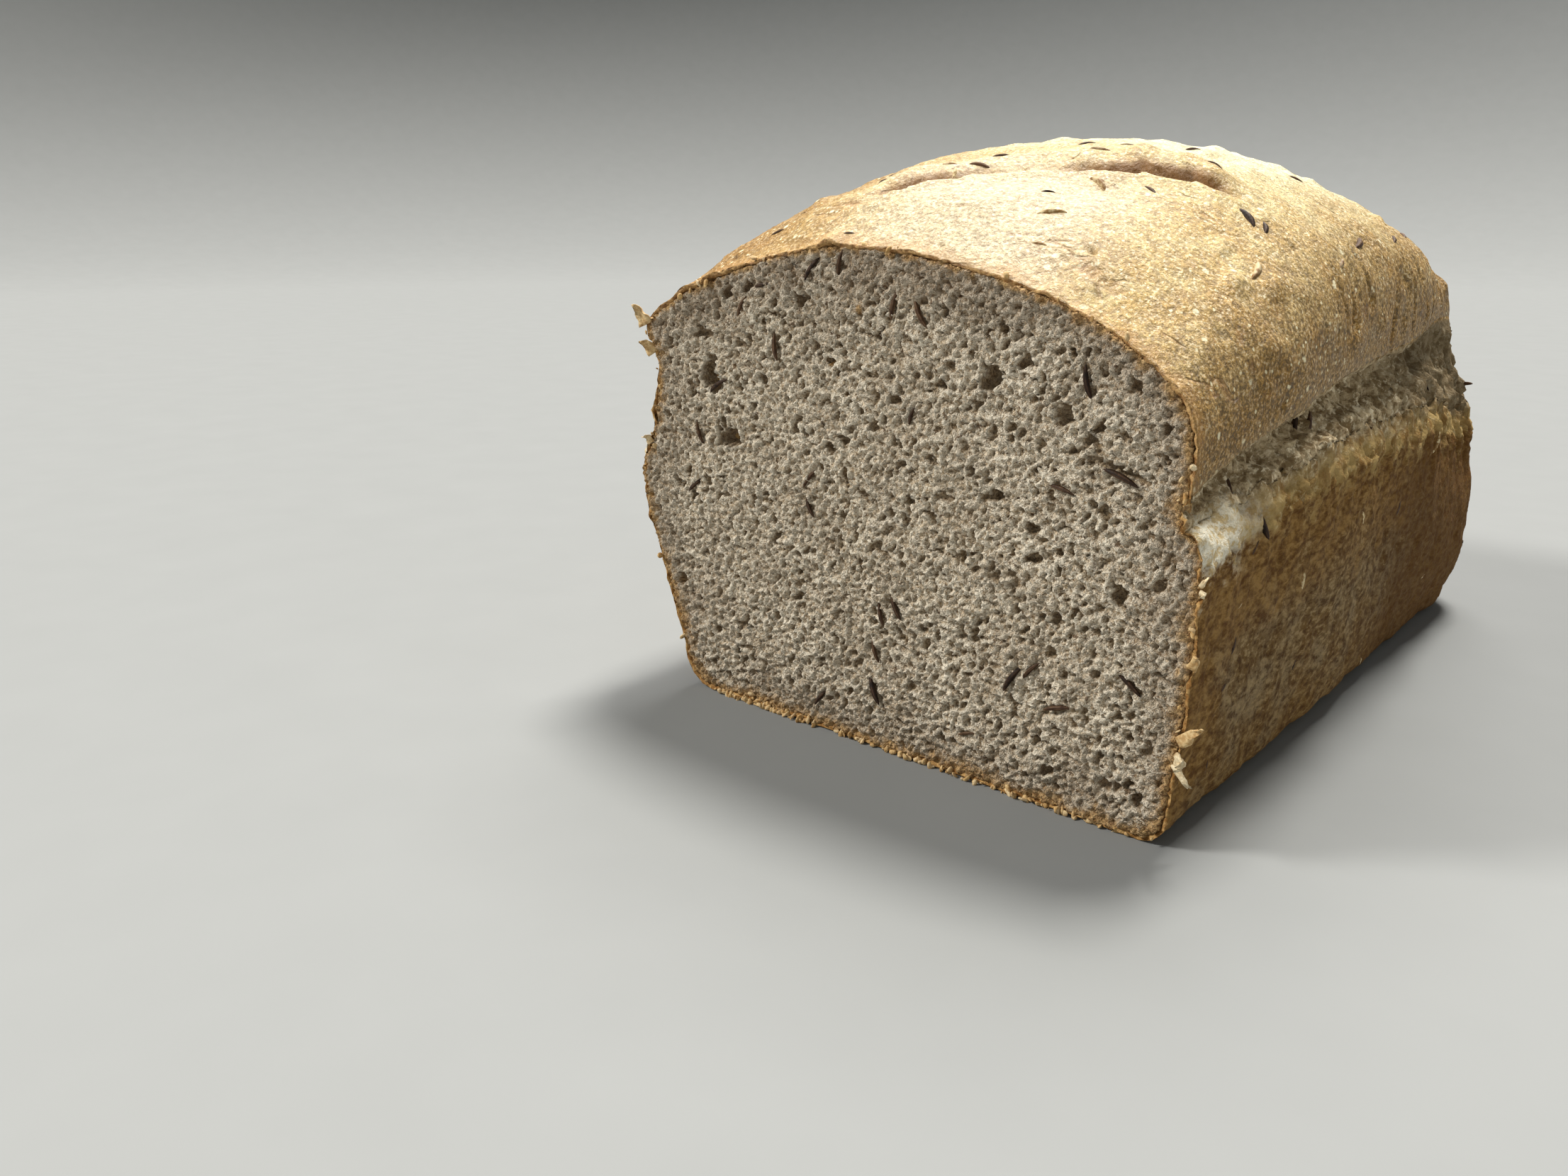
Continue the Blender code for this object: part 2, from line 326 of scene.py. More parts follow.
class Wire:
    """One output of a node. Sums written on it add Math nodes to its tree."""

    def __init__(self, nodes, socket):
        self.nodes, self.socket = nodes, socket

    def _sum(self, operation, *terms, clamp=False):
        inputs = {number: term for number, term in enumerate(terms)}
        return self.nodes.add("ShaderNodeMath", dict(operation=operation, use_clamp=clamp), inputs)

    def __add__(self, other):
        return self._sum("ADD", self, other)

    def __sub__(self, other):
        return self._sum("SUBTRACT", self, other)

    def __rsub__(self, other):
        return self._sum("SUBTRACT", other, self)

    def __mul__(self, other):
        return self._sum("MULTIPLY", self, other)

    def __truediv__(self, other):
        return self._sum("DIVIDE", self, other)

    def __rtruediv__(self, other):
        return self._sum("DIVIDE", other, self)

    def __pow__(self, other):
        return self._sum("POWER", self, other)

    def __neg__(self):
        return self._sum("MULTIPLY", self, -1.0)

    __radd__ = __add__
    __rmul__ = __mul__

    def held(self):
        """Held between 0 and 1."""
        return self._sum("ADD", self, 0.0, clamp=True)

    def most(self, other):
        return self._sum("MAXIMUM", self, other)

    def size(self):
        return self._sum("ABSOLUTE", self)

    def between(self, low, high, to_low=0.0, to_high=1.0):
        """Runs smoothly from one end to the other while the value goes from low to high."""
        inputs = {"Value": self, "From Min": low, "From Max": high, "To Min": to_low, "To Max": to_high}
        return self.nodes.add("ShaderNodeMapRange", dict(interpolation_type="SMOOTHSTEP"), inputs)


class Nodes:
    """A node tree, with one method that adds any node to it."""

    def __init__(self, tree):
        self.tree = tree

    @staticmethod
    def _find(sockets, key):
        if isinstance(key, int):
            return sockets[key]
        for socket in sockets:
            if socket.identifier == key or (socket.enabled and socket.name == key):
                return socket
        raise KeyError(f"{key} isn't among {[socket.identifier for socket in sockets]}")

    def add(self, kind, settings=None, inputs=None, output=None):
        node = self.tree.nodes.new(kind)
        for name, value in (settings or {}).items():
            if name == "stops":
                self._set_stops(node.color_ramp, value)
            else:
                setattr(node, name, value)
        for key, value in (inputs or {}).items():
            socket = self._find(node.inputs, key)
            if isinstance(value, Wire):
                self.tree.links.new(value.socket, socket)
            else:
                socket.default_value = value
        if output is not None:
            return Wire(self, self._find(node.outputs, output))
        shown = [socket for socket in node.outputs if socket.enabled]
        return Wire(self, shown[0]) if shown else node

    @staticmethod
    def _set_stops(ramp, stops):
        while len(ramp.elements) < len(stops):
            ramp.elements.new(1.0)
        for element, (position, colour) in zip(ramp.elements, stops):
            element.position, element.color = position, (*colour, 1.0)

    def noise(self, place, size, detail=2.0, roughness=0.5, warp=0.0, output="Fac"):
        """Noise whose patches are about `size` metres, around 0.5."""
        inputs = {"Vector": place, "Scale": 1 / size, "Detail": detail, "Roughness": roughness, "Distortion": warp}
        return self.add("ShaderNodeTexNoise", None, inputs, output)

    def cells(self, place, size, feature="F1", output="Distance", randomness=1.0):
        """Cells about `size` metres apart: the distance to a cell's middle, or another of its outputs."""
        inputs = {"Vector": place, "Scale": 1 / size, "Randomness": randomness}
        return self.add("ShaderNodeTexVoronoi", dict(feature=feature), inputs, output)

    def stretched(self, place, scale):
        return self.add("ShaderNodeVectorMath", dict(operation="MULTIPLY"), {0: place, 1: scale})

    def moved(self, place, by):
        return self.add("ShaderNodeVectorMath", dict(operation="ADD"), {0: place, 1: by})

    def scaled(self, vector, by):
        return self.add("ShaderNodeVectorMath", dict(operation="SCALE"), {0: vector, "Scale": by})

    def mixed(self, share, low, high, blend="MIX"):
        """Colours mixed."""
        low, high = [(*c, 1.0) if isinstance(c, tuple) and len(c) == 3 else c for c in (low, high)]
        settings = dict(data_type="RGBA", blend_type=blend)
        inputs = {"Factor_Float": share, "A_Color": low, "B_Color": high}
        return self.add("ShaderNodeMix", settings, inputs, "Result_Color")

    def parts(self, vector):
        return [self.add("ShaderNodeSeparateXYZ", None, {0: vector}, axis) for axis in "XYZ"]

    def joined(self, x, y, z):
        return self.add("ShaderNodeCombineXYZ", None, {0: x, 1: y, 2: z})


class Paint(Nodes):
    """A material's nodes."""

    def __init__(self, name):
        self.material = bpy.data.materials.new(name)
        self.material.use_nodes = True
        super().__init__(self.material.node_tree)
        self.tree.nodes.clear()
        self.place = self.add("ShaderNodeTexCoord", None, None, "Object")

    def measure(self, name, output="Fac"):
        return self.add("ShaderNodeAttribute", dict(attribute_name=name), None, output)

    def finish(self, colour, roughness, bumps, gloss):
        """Ends the material. Each bump is a height in metres, and bumps lie on each other."""
        shader = self.tree.nodes.new("ShaderNodeBsdfPrincipled")
        normal = None
        for height, strength in bumps:
            inputs = {"Height": height, "Distance": 1.0, "Strength": strength}
            if normal is not None:
                inputs["Normal"] = normal
            normal = self.add("ShaderNodeBump", None, inputs)
        looks = {"Base Color": colour, "Roughness": roughness, "Normal": normal, "Specular IOR Level": gloss}
        for name, value in looks.items():
            if isinstance(value, Wire):
                self.tree.links.new(value.socket, shader.inputs[name])
            elif value is not None:
                shader.inputs[name].default_value = value
        out = self.tree.nodes.new("ShaderNodeOutputMaterial")
        self.tree.links.new(shader.outputs[0], out.inputs["Surface"])
        return self.material


class Growth(Nodes):
    """A Geometry Nodes tree with named inputs for its sizes."""

    def __init__(self, name, sizes):
        super().__init__(bpy.data.node_groups.new(name, "GeometryNodeTree"))
        face = self.tree.interface
        face.new_socket(name="Geometry", in_out="INPUT", socket_type="NodeSocketGeometry")
        face.new_socket(name="Geometry", in_out="OUTPUT", socket_type="NodeSocketGeometry")
        self.inputs = {}
        for label, value in sizes.items():
            kind = "NodeSocketInt" if isinstance(value, int) else "NodeSocketFloat"
            self.inputs[label] = (face.new_socket(name=label, in_out="INPUT", socket_type=kind), value)
        start = self.tree.nodes.new("NodeGroupInput")
        self.start = Wire(self, start.outputs["Geometry"])
        self.size_of = {label: Wire(self, start.outputs[label]) for label in sizes}

    def measure(self, name, kind="FLOAT"):
        return self.add("GeometryNodeInputNamedAttribute", dict(data_type=kind), {"Name": name}, "Attribute")

    def position(self):
        return self.add("GeometryNodeInputPosition")

    def grow(self, geometry, start_mesh, piece_name, material):
        """Ends the tree, runs it on a mesh, and keeps the result as a plain mesh object."""
        geometry = self.add("GeometryNodeRealizeInstances", None, {"Geometry": geometry})
        geometry = self.add("GeometryNodeSetMaterial", None, {"Geometry": geometry, "Material": material})
        out = self.tree.nodes.new("NodeGroupOutput")
        self.tree.links.new(geometry.socket, out.inputs["Geometry"])
        bed = bpy.data.objects.new(piece_name + "_bed", start_mesh)
        bpy.context.scene.collection.objects.link(bed)
        modifier = bed.modifiers.new("growth", "NODES")
        modifier.node_group = self.tree
        for socket, value in self.inputs.values():
            modifier[socket.identifier] = value
        graph = bpy.context.evaluated_depsgraph_get()
        mesh = bpy.data.meshes.new_from_object(
            bed.evaluated_get(graph), preserve_all_data_layers=True, depsgraph=graph
        )
        bpy.data.objects.remove(bed, do_unlink=True)
        return kept(piece_name, mesh)


def kept(name, mesh):
    """A mesh as an object in the scene, at the origin."""
    mesh.name = name
    made = bpy.data.objects.new(name, mesh)
    bpy.context.scene.collection.objects.link(made)
    return made


def measured(mesh, **values):
    """Stores numbers or vectors on a mesh's points, by name."""
    for name, value in values.items():
        value = np.asarray(value, dtype=np.float32)
        kind, key = ("FLOAT_VECTOR", "vector") if value.ndim == 2 else ("FLOAT", "value")
        mesh.attributes.new(name, kind, "POINT").data.foreach_set(key, value.ravel())
    return mesh


# ---------------------------------------------------------------- crust


def ragged(place, size, seed):
    """Uneven numbers about `size` metres apart, from 0 to 1."""
    return 0.5 + 0.5 * noise.noise(Vector(place) / size + Vector((seed, 2 * seed, -seed)))


def section_edge(rows, out):
    """Columns that turn a sheet's cut end inwards: the crust's torn section, and the wall of the crumb's recess."""
    columns = []
    inward = -out * np.array([1.0, 0.0, 1.0])
    inward /= np.linalg.norm(inward, axis=1, keepdims=True) + 1e-9
    proud = np.array([2.4 * smooth(0.45, 0.85, ragged(p, 0.0024, 3.0)) * ragged(p, 0.0060, 9.0) for p in rows])
    proud *= 0.25 + 0.75 * smooth(0.0, 0.6, 1 - np.clip(out[:, 2], 0, 1))
    thick = np.array([0.5 + 1.1 * ragged(p, 0.0028, 5.0) for p in rows])
    forward = np.array([0.0, -1.0, 0.0])
    for number, (share, lift, sink) in enumerate(SECTION_STEPS):
        grain = np.array([ragged(p, 0.0008, 7.0 + number) - 0.5 for p in rows])
        shift = lift * CRUST_RAGGED * (proud + 1.6 * grain) - sink
        inset = CRUST_THICK * (share * thick + 0.9 * lift * grain)
        columns.append(rows + inward * inset[:, None] + forward * shift[:, None])
    return columns


def crust_sheet(rows, out, hub, zipped=None, zip_faces=None):
    """A closed mesh from a lofted sheet: its cut ends turned inwards and its open border closed to a hub inside.

    `zipped` is the row, first or last, whose two halves lie on each other, and `zip_faces` the way it faces."""
    place, rest, out = rows[:, :, :3], rows[:, :, 3:], out.copy()
    if zipped is not None:
        out[zipped] = zip_faces
    first = section_edge(place[:, 0], out[:, 0])
    last = section_edge(place[:, -1], out[:, -1])
    wide = np.stack(first[::-1] + list(np.swapaxes(place, 0, 1)) + last, axis=1)
    border = len(first)
    pad = ((0, 0), (border, border), (0, 0))
    out, rest = np.pad(out, pad, mode="edge"), np.pad(rest, pad, mode="edge")
    section = np.zeros(wide.shape[:2])
    section[:, :border] = section[:, -border:] = 1.0

    count, across = wide.shape[:2]
    index = np.arange(count * across).reshape(count, across)
    corners = [index[:-1, :-1], index[:-1, 1:], index[1:, 1:], index[1:, :-1]]
    quads = np.stack([corner.ravel() for corner in corners], axis=1)
    sides = [index[0, ::-1], index[:, 0], index[-1], index[::-1, -1]]
    if zipped is not None:
        sides.pop(0 if zipped == 0 else 2)
    hub_index = count * across
    fans = [(side[i], side[i + 1], hub_index) for side in sides for i in range(len(side) - 1)]
    mesh = bpy.data.meshes.new("sheet")
    mesh.from_pydata(np.vstack([wide.reshape(-1, 3), hub]).tolist(), [], quads.tolist() + fans)

    def all_points(values, at_hub):
        return np.vstack([values.reshape(count * across, -1), at_hub]).squeeze()

    measured(
        mesh,
        outward=all_points(out, [[0, 0, 0]]),
        way_round=all_points(rest[:, :, 0], [[0]]),
        way_up=all_points(rest[:, :, 1], [[0]]),
        dip=all_points(rest[:, :, 2], [[0]]),
        zone=all_points(rest[:, :, 3], [[0]]),
        section=all_points(section, [[1]]),
    )
    bm = bmesh.new()
    bm.from_mesh(mesh)
    bm.verts.ensure_lookup_table()
    inner = bm.verts[hub_index]
    if zipped is not None:
        bmesh.ops.remove_doubles(bm, verts=[bm.verts[i] for i in index[zipped]], dist=0.00002)
    bmesh.ops.recalc_face_normals(bm, faces=bm.faces)
    for face in bm.faces:
        face.smooth = inner not in face.verts
    bm.to_mesh(mesh)
    bm.free()
    return mesh


def wrinkles(tree, place):
    """Short fine creases in the dome's skin, which run across the loaf: 1 in a crease."""
    wavy = tree.noise(tree.stretched(place, (0.45, 1.6, 1.6)), 0.0100, 2.0, 0.5, 0.6)
    here = tree.noise(tree.moved(place, (5.0, 1.0, 2.0)), 0.0075, 1.0).between(0.63, 0.68)
    return (1 - ((wavy - 0.5) * 20.0).size()).held() * here


def crust_relief(grow):
    """How far each point of the crust stands out, from the base's dents to the dome's blisters."""
    place = grow.position()
    zone, way_round, way_up = (grow.measure(name) for name in ("zone", "way_round", "way_up"))
    size = grow.size_of
    unrolled = grow.joined(way_round, way_up, 0.0)
    upright = grow.stretched(unrolled, (1.0, 0.20, 1.0))

    on_wall = zone.between(1.1, 1.6) * (1 - zone.between(3.4, 4.0))
    streaks = (grow.noise(upright, 0.0034, 3.0, 0.6, 0.4) - 0.5) * size["Streak height"]
    pebbles = (grow.noise(place, 0.0017, 4.0, 0.68) - 0.5) * size["Pebble height"]
    dents = (grow.noise(place, 0.011, 3.0) - 0.5) * size["Dent depth"]
    chips = (0.34 - grow.cells(place, 0.0062)).most(0.0) * size["Wall chip"]
    wall = (streaks + pebbles + dents - chips) * on_wall

    on_rim = zone.between(2.70, 3.15) * (1 - zone.between(4.30, 4.80))
    lumps = (grow.noise(place, 0.0062, 3.0, 0.60, 0.6) - 0.48) * size["Rim lump"]
    crags = (grow.noise(place, 0.0024, 3.0, 0.62, 0.4) - 0.5) * size["Rim crag"]
    nibbled = (0.45 - grow.cells(place, 0.0018)).most(0.0) * size["Rim crumble"]
    far_back = way_round.between(0.098, 0.118)
    folds = (1 - ((grow.noise(upright, 0.0065, 1.5, 0.5, 0.4) - 0.5) * 7.0).size()).held() ** 2.0
    folds = folds * size["Rear fold"] * far_back * zone.between(2.7, 3.2) * (1 - zone.between(4.6, 5.0))
    calm = 0.30 + 0.55 * way_round.between(0.010, 0.034)
    rim = (lumps * calm + crags - nibbled * calm) * on_rim - folds

    on_band = zone.between(3.95, 4.50) * (1 - zone.between(4.84, 5.04))
    torn = (grow.noise(place, 0.0048, 3.0, 0.60, 0.2) - 0.5) * size["Torn height"] * (1 - far_back * 0.6)
    shreds = (grow.noise(place, 0.0018, 3.0, 0.65) - 0.5) * size["Torn shred"]
    holes = (0.42 - grow.cells(grow.stretched(place, (1.0, 1.0, 0.6)), 0.0050)).most(0.0) * size["Torn hole"]
    small_holes = (0.50 - grow.cells(place, 0.0019)).most(0.0) * size["Torn pore"]
    in_groove = zone.between(3.60, 4.03) * (1 - zone.between(4.15, 4.60))
    in_groove = in_groove * way_round.between(0.004, 0.014)
    filled = grow.noise(place, 0.0042, 3.0, 0.6).between(0.36, 0.62, 0.25, 1.0) * size["Groove fill"] * in_groove
    band = (torn + shreds - holes - small_holes) * on_band + filled

    on_dome = zone.between(4.95, 5.08)
    near_edge = on_dome * (1 - zone.between(5.12, 5.30))
    sway = (grow.noise(place, 0.016, 1.0) - 0.5) * size["Dome sway"]
    skin = (grow.noise(place, 0.0032, 4.0, 0.62, 0.5) - 0.5) * size["Dome grain"]
    creases = (1 - ((grow.noise(upright, 0.0060, 1.5, 0.45, 0.4) - 0.5) * 9.0).size()).held() ** 1.5
    often = grow.noise(place, 0.026, 0.0).between(0.40, 0.52)
    some_way_back = way_round.between(0.035, 0.060) * (1 - way_round.between(0.112, 0.130) * 0.6)
    gathers = creases * size["Dome crease"] * near_edge * often * some_way_back
    blister = (0.40 - grow.cells(grow.stretched(place, (1.0, 0.7, 1.0)), 0.0080)).most(0.0)
    blister = blister * grow.noise(place, 0.018, 0.0).between(0.46, 0.56)
    pit_kind = grow.parts(grow.cells(place, 0.0056, output="Color"))
    pit_width = pit_kind[1].between(0.0, 1.0, 0.09, 0.19)
    pit = (pit_width - grow.cells(place, 0.0056)).most(0.0) * pit_kind[0].between(0.66, 0.70)
    dome = (sway + skin + blister * size["Blister height"]) * on_dome - gathers - pit * size["Pit depth"] * on_dome

    underside = (1 - zone.between(0.9, 1.1)) * grow.noise(place, 0.006, 3.0) * size["Base dent"]
    return wall + rim + band + dome - underside


CRUST_SIZES = {
    "Streak height": 0.00014,
    "Pebble height": 0.00085,
    "Dent depth": 0.0022,
    "Wall chip": 0.0016,
    "Rim lump": 0.0056,
    "Rim crag": 0.0015,
    "Rim crumble": 0.0018,
    "Rear fold": 0.0018,
    "Torn height": 0.0052,
    "Torn shred": 0.0020,
    "Torn hole": 0.0044,
    "Torn pore": 0.0022,
    "Groove fill": 0.0022,
    "Dome sway": 0.0016,
    "Dome grain": 0.00085,
    "Dome crease": 0.0011,
    "Blister height": 0.0024,
    "Pit depth": 0.0085,
    "Base dent": 0.0005,
}


def crust_piece(name, sheet, material):
    grow = Growth(name + "_relief", CRUST_SIZES)
    out = grow.measure("outward", "FLOAT_VECTOR")
    offset = grow.scaled(out, crust_relief(grow))
    moved = grow.add("GeometryNodeSetPosition", None, {"Geometry": grow.start, "Offset": offset})
    return grow.grow(moved, sheet, name, material)


# ---------------------------------------------------------------- crumb

FACE_STEP = 0.00031
CRUMB_INSET = 0.00030
SEED_POCKET = 0.0005

# Open cells by kind, from the largest: how many tries, and their smallest and largest half width.
CELL_KINDS = (
    (90, 0.00075, 0.00115),
    (900, 0.00050, 0.00075),
    (5200, 0.00032, 0.00050),
    (9000, 0.00022, 0.00032),
)

# Holes that stand out on the face, by place across and up, half width and half height.
HOLES = (
    (0.0210, 0.0660, 0.0019, 0.0016),
    (0.0335, 0.0620, 0.0015, 0.0012),
    (-0.0330, 0.0510, 0.0022, 0.0019),
    (-0.0380, 0.0615, 0.0019, 0.0026),
    (-0.0400, 0.0690, 0.0022, 0.0009),
    (0.0440, 0.0370, 0.0010, 0.0020),
    (0.0300, 0.0400, 0.0014, 0.0010),
    (-0.0100, 0.0520, 0.0013, 0.0010),
)

# Caraway seeds that stand out on the face, by place across and up, turn in degrees and length.
FACE_SEEDS = (
    (0.003, 0.076, 80, 0.0048), (0.008, 0.075, 120, 0.0050), (-0.030, 0.074, 60, 0.0048), (-0.014, 0.081, 55, 0.0046),
    (-0.008, 0.082, 75, 0.0044), (-0.025, 0.078, 10, 0.0042), (-0.022, 0.068, 105, 0.0050), (-0.036, 0.060, 30, 0.0052),
    (0.037, 0.067, 100, 0.0052), (0.007, 0.059, 70, 0.0034), (-0.042, 0.041, 40, 0.0050), (-0.041, 0.051, 110, 0.0044),
    (-0.014, 0.046, 50, 0.0046), (-0.014, 0.041, 120, 0.0040), (0.043, 0.054, -20, 0.0058), (0.034, 0.051, -10, 0.0044),
    (0.005, 0.027, 120, 0.0052), (0.002, 0.025, 110, 0.0046), (0.001, 0.018, 110, 0.0044), (0.001, 0.011, 120, 0.0060),
    (0.028, 0.020, 60, 0.0056), (0.031, 0.022, 50, 0.0042), (0.047, 0.024, -35, 0.0050), (0.036, 0.017, 15, 0.0050),
    (-0.011, 0.006, 55, 0.0042), (0.020, 0.008, 20, 0.0036),
)


def inside_depth(points, outline):
    """How far points lie inside a closed outline, in metres; below 0 outside."""
    start, end = outline, np.roll(outline, -1, axis=0)
    run = end - start
    length = (run**2).sum(axis=1) + 1e-18
    made = np.empty(len(points))
    for i in range(0, len(points), 6000):
        part = points[i : i + 6000, None]
        share = np.clip(((part - start) * run).sum(axis=2) / length, 0, 1)
        near = start + run * share[..., None]
        distance = np.sqrt(((part - near) ** 2).sum(axis=2)).min(axis=1)
        above = (start[:, 1] > part[..., 1]) != (end[:, 1] > part[..., 1])
        rise = np.where(np.abs(run[:, 1]) < 1e-12, 1e-12, run[:, 1])
        crossing = start[:, 0] + (part[..., 1] - start[:, 1]) * run[:, 0] / rise
        odd = (above & (part[..., 0] < crossing)).sum(axis=1) % 2 == 1
        made[i : i + 6000] = np.where(odd, distance, -distance)
    return made


def press(depth, across, up, place, half, turn, sink, wobble=(0.0, 0.0)):
    """Presses one open cell, an uneven ellipse with a round bottom, into the face's depths."""
    reach = max(half) * 1.4
    i0, i1 = np.searchsorted(across, (place[0] - reach, place[0] + reach))
    j0, j1 = np.searchsorted(up, (place[1] - reach, place[1] + reach))
    if i1 <= i0 or j1 <= j0:
        return
    x, z = np.meshgrid(across[i0:i1] - place[0], up[j0:j1] - place[1])
    c, s = math.cos(turn), math.sin(turn)
    a, b = (c * x + s * z) / half[0], (c * z - s * x) / half[1]
    angle = np.arctan2(b, a)
    edge = 1 + 0.17 * np.sin(2 * angle + wobble[0]) + 0.11 * np.sin(3 * angle + wobble[1])
    far = (a * a + b * b) / edge**2
    hollow = np.where(far < 1, sink * (0.40 + 0.60 * np.sqrt(np.clip(1 - far, 0, 1))), 0)
    window = depth[j0:j1, i0:i1]
    np.maximum(window, hollow, out=window)


def patches(shape, size, chance):
    """Uneven numbers around 0 over the face's grid, whose patches are about `size` metres."""
    step = size / FACE_STEP
    coarse = chance.normal(size=(int(shape[0] / step) + 3, int(shape[1] / step) + 3))
    row, column = np.arange(shape[0]) / step, np.arange(shape[1]) / step
    i, j = row.astype(int), column.astype(int)
    u, v = (smooth(0, 1, row - i)[:, None], smooth(0, 1, column - j)[None])
    lower = coarse[np.ix_(i, j)] * (1 - v) + coarse[np.ix_(i, j + 1)] * v
    upper = coarse[np.ix_(i + 1, j)] * (1 - v) + coarse[np.ix_(i + 1, j + 1)] * v
    return lower * (1 - u) + upper * u


def frayed(depth, chance):
    """The depths, read a little aside from where they were pressed, which frays the cells' edges."""
    rows, columns = np.indices(depth.shape).astype(float)
    for size, reach in ((0.0011, 0.00022), (0.0006, 0.00016)):
        rows += patches(depth.shape, size, chance) * reach / FACE_STEP
        columns += patches(depth.shape, size, chance) * reach / FACE_STEP
    rows, columns = np.clip(rows, 0, depth.shape[0] - 1.001), np.clip(columns, 0, depth.shape[1] - 1.001)
    i, j = rows.astype(int), columns.astype(int)
    u, v = rows - i, columns - j
    lower = depth[i, j] * (1 - v) + depth[i, j + 1] * v
    upper = depth[i + 1, j] * (1 - v) + depth[i + 1, j + 1] * v
    return lower * (1 - u) + upper * u


def crumb_web(tree, place):
    """The crumb's web of thin walls, 1 on a wall and 0 in the bowls between: for wide cells and for narrow ones."""
    flat = tree.stretched(place, (1.0, 0.0, 1.0))
    swirl = tree.noise(flat, 0.0010, 2.0, 0.6, output="Color")
    flat = tree.moved(flat, tree.scaled(tree.moved(swirl, (-0.5, -0.5, -0.5)), 0.0009))
    wide = tree.cells(flat, 0.00135, "DISTANCE_TO_EDGE")
    narrow = tree.cells(flat, 0.00066, "DISTANCE_TO_EDGE")
    return 1 - wide.between(0.02, 0.24), 1 - narrow.between(0.02, 0.26)


